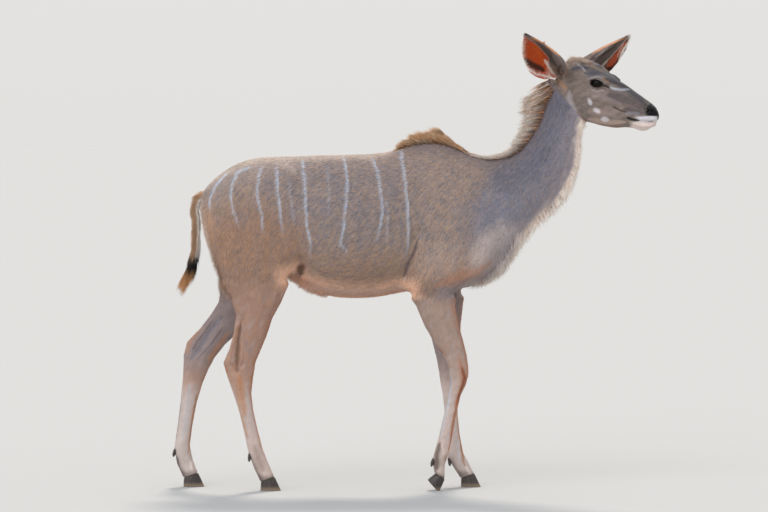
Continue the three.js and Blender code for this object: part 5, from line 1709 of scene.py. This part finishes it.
crown_place = np.abs(skin_own[:, 1]) < 40
crown_band = stroke(skin_photo, CROWN_LINE, 3.4, 1.6) * crown_place
crown_band = np.maximum(crown_band, 0.7 * stroke(skin_photo, POLL_LINE, 4, 4))
crown_density = CROWN_HAIRS * crown_band * skin_soft["head"]
long_hair("crown_tuft", CROWN, crown_density, 0.16, 0.04, 1.5, crown_colours)
for ear_name, guide, rim, own_side in (
        ("ear_right", NEAR_EAR_HAIR, NEAR_EAR_RIM, skin[:, 1] < EAR_SPLIT),
        ("ear_left", FAR_EAR_HAIR, FAR_EAR_RIM, skin[:, 1] >= EAR_SPLIT)):
    here = to_photo(skin)
    gap, _ = reach(here, rim)
    band = ease(gap, 4.5, 1.0) * own_side * ease(skin_soft["ear"], 0.3, 0.7)
    band *= 0.25 + 0.75 * ear_inside(skin_normals, ear_name)
    long_hair("hair_of_" + ear_name, guide, EAR_HAIRS * band, 0.14, 0.0, 0.8, rim_colours, own_places=True)


# The tail: a thin core with hair down its length and a brush at its end.
TAIL_LINE = [(-496, 1062), (-524, 1052), (-539, 1018), (-537, 950), (-537, 880), (-549, 812), (-567, 770)]
TAIL_RADIUS = [16, 15, 12, 10, 8, 6, 3]
TAIL_HAIR_REACH = 330  # the tail's length with its brush, in millimetres
TAIL_HAIRS = 4200


def tail_at(share):
    """Middle, downward direction and radius of the tail, by share of its length."""
    line = np.array([drafted(x, 0, z) for x, z in TAIL_LINE])
    steps = np.concatenate([[0], np.cumsum(np.linalg.norm(np.diff(line, axis=0), axis=1))])
    steps /= steps[-1]
    place = np.stack([np.interp(share, steps, line[:, k]) for k in range(3)], 1)
    ahead = np.stack([np.interp(share + 0.06, steps, line[:, k]) for k in range(3)], 1)
    behind = np.stack([np.interp(share - 0.06, steps, line[:, k]) for k in range(3)], 1)
    return place, unit(ahead - behind), np.interp(share, steps, TAIL_RADIUS) * MM


def around_tail(share, angle):
    """Points and outward directions on the core; angle 0 faces backwards."""
    place, down, radius = tail_at(share)
    back = unit(np.cross(np.array((0, 1.0, 0)), down))
    back *= np.sign(-back[:, :1])
    outward = back * np.cos(angle)[:, None] + np.array((0, 1.0, 0)) * np.sin(angle)[:, None]
    return place + outward * radius[:, None], outward, down


TAIL_TAN = linear("#b08e72")
TAIL_BACK_PALE = linear("#d3b89f")
TAIL_WHITE = linear("#e4ddd6")
TAIL_BLACK = linear("#121215")
TAIL_TIP_TAN = linear("#cc9a6c")


def tail_colours(share, angle):
    under = ease(np.cos(angle), -0.1, -0.6)
    colours = np.tile(TAIL_TAN, (len(share), 1))
    colours = blend_to(colours, TAIL_BACK_PALE, 0.5 * ease(np.cos(angle), 0.5, 1))
    colours = blend_to(colours, TAIL_WHITE, under)
    colours = blend_to(colours, TAIL_BLACK, ease(share + 0.04 * under, 0.77, 0.85))
    return blend_to(colours, TAIL_TIP_TAN, ease(share, 0.94, 1.02))


def tail():
    """The core of the tail and its hair, which is banded as it hangs."""
    rings, around = 60, 24
    share = np.repeat(np.linspace(0, 1, rings), around)
    angle = np.tile(np.linspace(0, 2 * math.pi, around, endpoint=False), rings)
    corners, _, _ = around_tail(share, angle)
    core = object_from("tail_core", mesh_of("tail_core", corners, grid_triangles(rings, around)), short_coat)
    paint_mesh(core.data, tail_colours(share, angle))
    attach(core, "root")
    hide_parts("tail")
    count = int(TAIL_HAIRS * share_of_coat)
    share = rng.uniform(0.0, 1, count) ** 0.85
    angle = rng.uniform(0, 2 * math.pi, count)
    root, outward, down = around_tail(share, angle)
    under = ease(np.cos(angle), -0.1, -0.6)
    length = np.interp(share, [0, 0.3, 0.6, 0.85, 1], [22, 36, 50, 62, 66]) * (1 + 0.2 * under)
    flare = np.interp(share, [0, 0.5, 0.8, 1], [0.12, 0.2, 0.28, 0.2])[:, None]
    wander = 0.06 * rng.normal(size=(count, 3))
    first = unit(down + outward * (flare + 0.12) + wander)
    last = unit(down + outward * (0.02 - 0.2 * flare) + wander + np.array((-0.12, 0, 0)) * share[:, None])
    shade = jitter(count, 0.2)[:, None]
    mixed = share + 0.025 * rng.normal(size=count)

    def banded(along):
        return tail_colours(mixed + along * length / TAIL_HAIR_REACH, angle) * shade

    tufts("tail_hair", hair, root, outward, first, last, length * MM * jitter(count, 0.2),
          2.0 * MM * jitter(count, 0.3), None, None, profile=LOCK, steps=4, sunk=2 * MM, tint=banded)


tail()


# Eyes.

EYE_DARK = linear("#0a0706")
IRIS_BROWN = linear("#130b08")
PUPIL_BLACK = linear("#050505")


def eyeball(side, sign):
    """A ball with a bulged cornea and a wide, level pupil."""
    rings, around = 48, 64
    lat = np.linspace(0, math.pi, rings)[:, None]
    lon = np.linspace(0, 2 * math.pi, around, endpoint=False)[None]
    ball = [np.sin(lat) * np.cos(lon), np.cos(lat) * np.ones_like(lon), np.sin(lat) * np.sin(lon)]
    ball = np.stack(ball, -1).reshape(-1, 3)
    bulge = 1 + 0.045 * ease(ball[:, 1], 0.82, 0.97)
    own = ball * EYE_RADIUS * bulge[:, None]
    pupil = np.hypot(ball[:, 0] / 0.42, ball[:, 2] / 0.2)
    iris = np.hypot(ball[:, 0], ball[:, 2]) / 0.72
    colours = np.tile(EYE_DARK, (len(ball), 1))
    colours = blend_to(colours, IRIS_BROWN, 0.8 * ease(iris, 1.0, 0.7))
    colours = blend_to(colours, PUPIL_BLACK, ease(pupil, 1.15, 0.85))
    own[:, 1] *= sign
    own += np.array(EYE_AT) * (1, sign, 1)
    mesh = mesh_of("eyeball", moved(own, HEAD_ARRAY), grid_triangles(rings, around)[:, ::-sign])
    made = object_from(f"eyeball_{side}", mesh, wet_eye)
    paint_mesh(made.data, colours)
    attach(made, "root")
    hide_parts("eye_" + side)


LID_STEPS = 72
LASHES = 70
LID_THICK = 1.1  # half the thickness of the bare edge of the lids, in millimetres


def lid_line(sign):
    """The edge of the lids round one eye, in the head's frame in millimetres."""
    turn = np.linspace(0, 2 * math.pi, LID_STEPS, endpoint=False)
    corner = np.maximum(np.cos(turn), 0) ** 5
    along = LID_LONG * np.cos(turn) + 3.0 * corner
    up = np.where(np.sin(turn) > 0, LID_UPPER, LID_LOWER) * np.sin(turn) - 2.0 * corner
    c, s = math.cos(math.radians(LID_TILT)), math.sin(math.radians(LID_TILT))
    ahead, high = along * c - up * s, along * s + up * c
    ball = np.sqrt(np.maximum((EYE_RADIUS / MM + 0.4) ** 2 - ahead**2 - high**2, 16.0))
    eye = EYE_SPOT * (1, sign, 1)
    tree = BVHTree.FromPolygons(skin[eye_skin].tolist(), eye_faces.tolist())
    inward = HEAD.to_3x3() @ Vector((0, -sign, 0))
    out = ball.copy()
    for k in range(LID_STEPS):
        start = in_head(*(eye + (1.14 * ahead[k], sign * 60, 1.14 * high[k])))
        hit, *_ = tree.ray_cast(Vector(start), inward)
        if hit:
            out[k] = max(ball[k], sign * (HEAD_BACK @ (*hit, 1))[1] / MM - abs(eye[1]) - 1.2)
    spread = np.concatenate([out, out, out])
    spread = np.convolve(spread, np.ones(7) / 7, "same")[LID_STEPS:2 * LID_STEPS]
    out = np.maximum(spread, ball)
    return eye + np.stack([ahead, sign * out, high], 1)


LID_SKIN = linear("#16110f")
LASH_BLACK = linear("#120e0d")


def lid_edge(side, sign):
    """Bare dark skin along the lids, and lashes on the upper one."""
    line = lid_line(sign)
    ahead = unit(np.roll(line, -1, 0) - np.roll(line, 1, 0))
    eye = EYE_SPOT * (1, sign, 1)
    outward = unit(line - eye)
    across = unit(np.cross(ahead, outward))
    around = 10
    angle = np.linspace(0, 2 * math.pi, around, endpoint=False)
    ring = outward[:, None] * np.cos(angle)[None, :, None] + across[:, None] * np.sin(angle)[None, :, None]
    corners = (line[:, None] + LID_THICK * ring).reshape(-1, 3)
    triangles = grid_triangles(LID_STEPS, around, closed=True)
    mesh = mesh_of("lid_edge", moved(corners * MM, HEAD_ARRAY), triangles)
    made = object_from(f"lid_edge_{side}", mesh, nose_leather)
    paint_mesh(made.data, np.tile(LID_SKIN, (len(corners), 1)))
    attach(made, "root")

    lashes = rng.uniform(0.12 * math.pi, 0.92 * math.pi, LASHES)
    index = (lashes / (2 * math.pi) * LID_STEPS).astype(int)
    turned_out = HEAD_ARRAY[:3, :3]
    root = moved((line[index] + 1.2 * outward[index]) * MM, HEAD_ARRAY)
    up = np.array((0, 0, 1.0))
    back = np.array((-0.25, 0, 0))
    first = unit(outward[index] + 0.3 * up + back + 0.1 * rng.normal(size=(LASHES, 3))) @ turned_out.T
    last = unit(outward[index] - 0.7 * up + back + 0.1 * rng.normal(size=(LASHES, 3))) @ turned_out.T
    dark = np.tile(LASH_BLACK, (LASHES, 1))
    tufts(f"lashes_{side}", hair, root, outward[index] @ turned_out.T, first, last,
          9 * MM * jitter(LASHES, 0.3), np.full(LASHES, 0.7 * MM), dark, dark, profile=LOCK, steps=3, sunk=0)


near_eyes = by_the_lids(skin_own, 3.0, 2.9) > 0.5
eye_skin = near_eyes.nonzero()[0]
renumbered = np.cumsum(near_eyes) - 1
eye_faces = renumbered[ground.triangles[near_eyes[ground.triangles].all(1)]]
for eye_side, eye_sign in (("right", -1), ("left", 1)):
    eyeball(eye_side, eye_sign)
    lid_edge(eye_side, eye_sign)


# Hooves and dewclaws.

HORN_GREY = linear("#4a413c")
HORN_DARK = linear("#211c1a")
HORN_DUST = linear("#a48d75")


def horn_piece(leg):
    """The claws of one foot, rounded, with growth rings and worn, dusty edges."""
    nodes = [name for name in frame["nodes"] if name.startswith(leg) and not is_flesh(name)]
    joined = bmesh.new()
    for name in nodes:
        joined.from_mesh(frame["nodes"][name].data)
    bmesh.ops.remove_doubles(joined, verts=joined.verts, dist=0.01 * MM)
    mesh = bpy.data.meshes.new("claws")
    joined.to_mesh(mesh)
    joined.free()
    fine = modified(mesh, "REMESH", mode="VOXEL", voxel_size=2.0 * MM, use_smooth_shade=True)
    points = points_of(fine)
    ring = Ring(fine)
    flat = points[:, 2] < 0.6 * MM
    for _ in range(4):
        points = np.where(flat[:, None], points, points + 0.6 * (ring.mean(points) - points))
    normals = normals_of(points, fine)
    rings = 0.22 * MM * np.sin(points[:, 2] / (4.2 * MM) * 2 * math.pi + 2 * ripple(points, 0.02, 14))
    points = points + normals * (rings * ~flat)[:, None]
    points[:, 2] = np.maximum(points[:, 2], cad_box[0][2])
    normals_of(points, fine)
    colours = np.tile(HORN_GREY, (len(points), 1))
    colours = blend_to(colours, HORN_DARK, 0.6 + 0.5 * ripple(points * (1, 1, 0.15), 0.004, 15))
    colours = blend_to(colours, HORN_DUST, 0.5 * ease(points[:, 2], 0.02, 0.002))
    made = object_from(f"claws_{leg}", fine, hoof_horn)
    paint_mesh(fine, colours)
    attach(made, "root")
    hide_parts(*nodes)


for leg_name in LEG_PATHS:
    horn_piece(leg_name)


# Camera, light and floor.

def camera():
    data = bpy.data.cameras.new("camera")
    data.sensor_width = SENSOR
    data.lens = LENS
    data.clip_end = 2000
    made = bpy.data.objects.new("camera", data)
    bpy.context.scene.collection.objects.link(made)
    made.location = CAMERA_AT
    made.rotation_euler = (math.pi / 2 - CAMERA_DIP, 0, 0)
    bpy.context.scene.camera = made


# Each sun: the way its light travels, its strength, its spread in degrees and its colour.
SUNS = {
    "key": ((0.45, 0.75, -0.55), 1.35, 50, "#fbfaff"),
    "rim": ((-0.10, -0.72, -1.0), 2.5, 14, "#fff3e4"),
}


def sun(name, way, strength, spread, colour):
    """A soft light from far away that travels one way."""
    data = bpy.data.lights.new(name, "SUN")
    data.energy = strength
    data.angle = math.radians(spread)
    data.color = linear(colour)
    made = bpy.data.objects.new(name, data)
    bpy.context.scene.collection.objects.link(made)
    made.rotation_euler = Vector(way).to_track_quat("-Z", "Y").to_euler()


HORIZON = linear("#e2e1df")
ZENITH = linear("#ffffff") * 1.05


def world():
    """A pale studio, brighter overhead."""
    made = bpy.data.worlds.new("studio")
    bpy.context.scene.world = made
    made.use_nodes = True
    tree = made.node_tree
    place = add(tree, "ShaderNodeTexCoord")
    parts = add(tree, "ShaderNodeSeparateXYZ", {"Vector": place.outputs["Generated"]})
    mix = add(tree, "ShaderNodeMix", {"Factor": parts.outputs["Z"], 6: (*HORIZON, 1), 7: (*ZENITH, 1)},
              data_type="RGBA")
    tree.links.new(mix.outputs[2], tree.nodes["Background"].inputs["Color"])


def floor_colour():
    """The colour that makes the floor as bright under these lights as the studio at the horizon."""
    light = math.pi * HORIZON + 2 * math.pi / 3 * (ZENITH - HORIZON)
    for way, strength, _, colour in SUNS.values():
        steep = -way[2] / Vector(way).length
        light = light + strength * steep * linear(colour)
    return HORIZON * math.pi / light


def floor():
    mesh = bmesh.new()
    bmesh.ops.create_circle(mesh, cap_ends=True, segments=96, radius=900)
    data = bpy.data.meshes.new("floor")
    mesh.to_mesh(data)
    mesh.free()
    made, tree = new_material("pale_studio_floor")
    finished(tree, {"Base Color": (*floor_colour(), 1), "Roughness": 1.0, "Specular IOR Level": 0.0})
    plane = object_from("floor", data, made)
    plane.location.z = cad_box[0][2]


camera()
world()
for sun_name, settings in SUNS.items():
    sun(sun_name, *settings)
floor()
bpy.context.scene.view_settings.view_transform = "Standard"
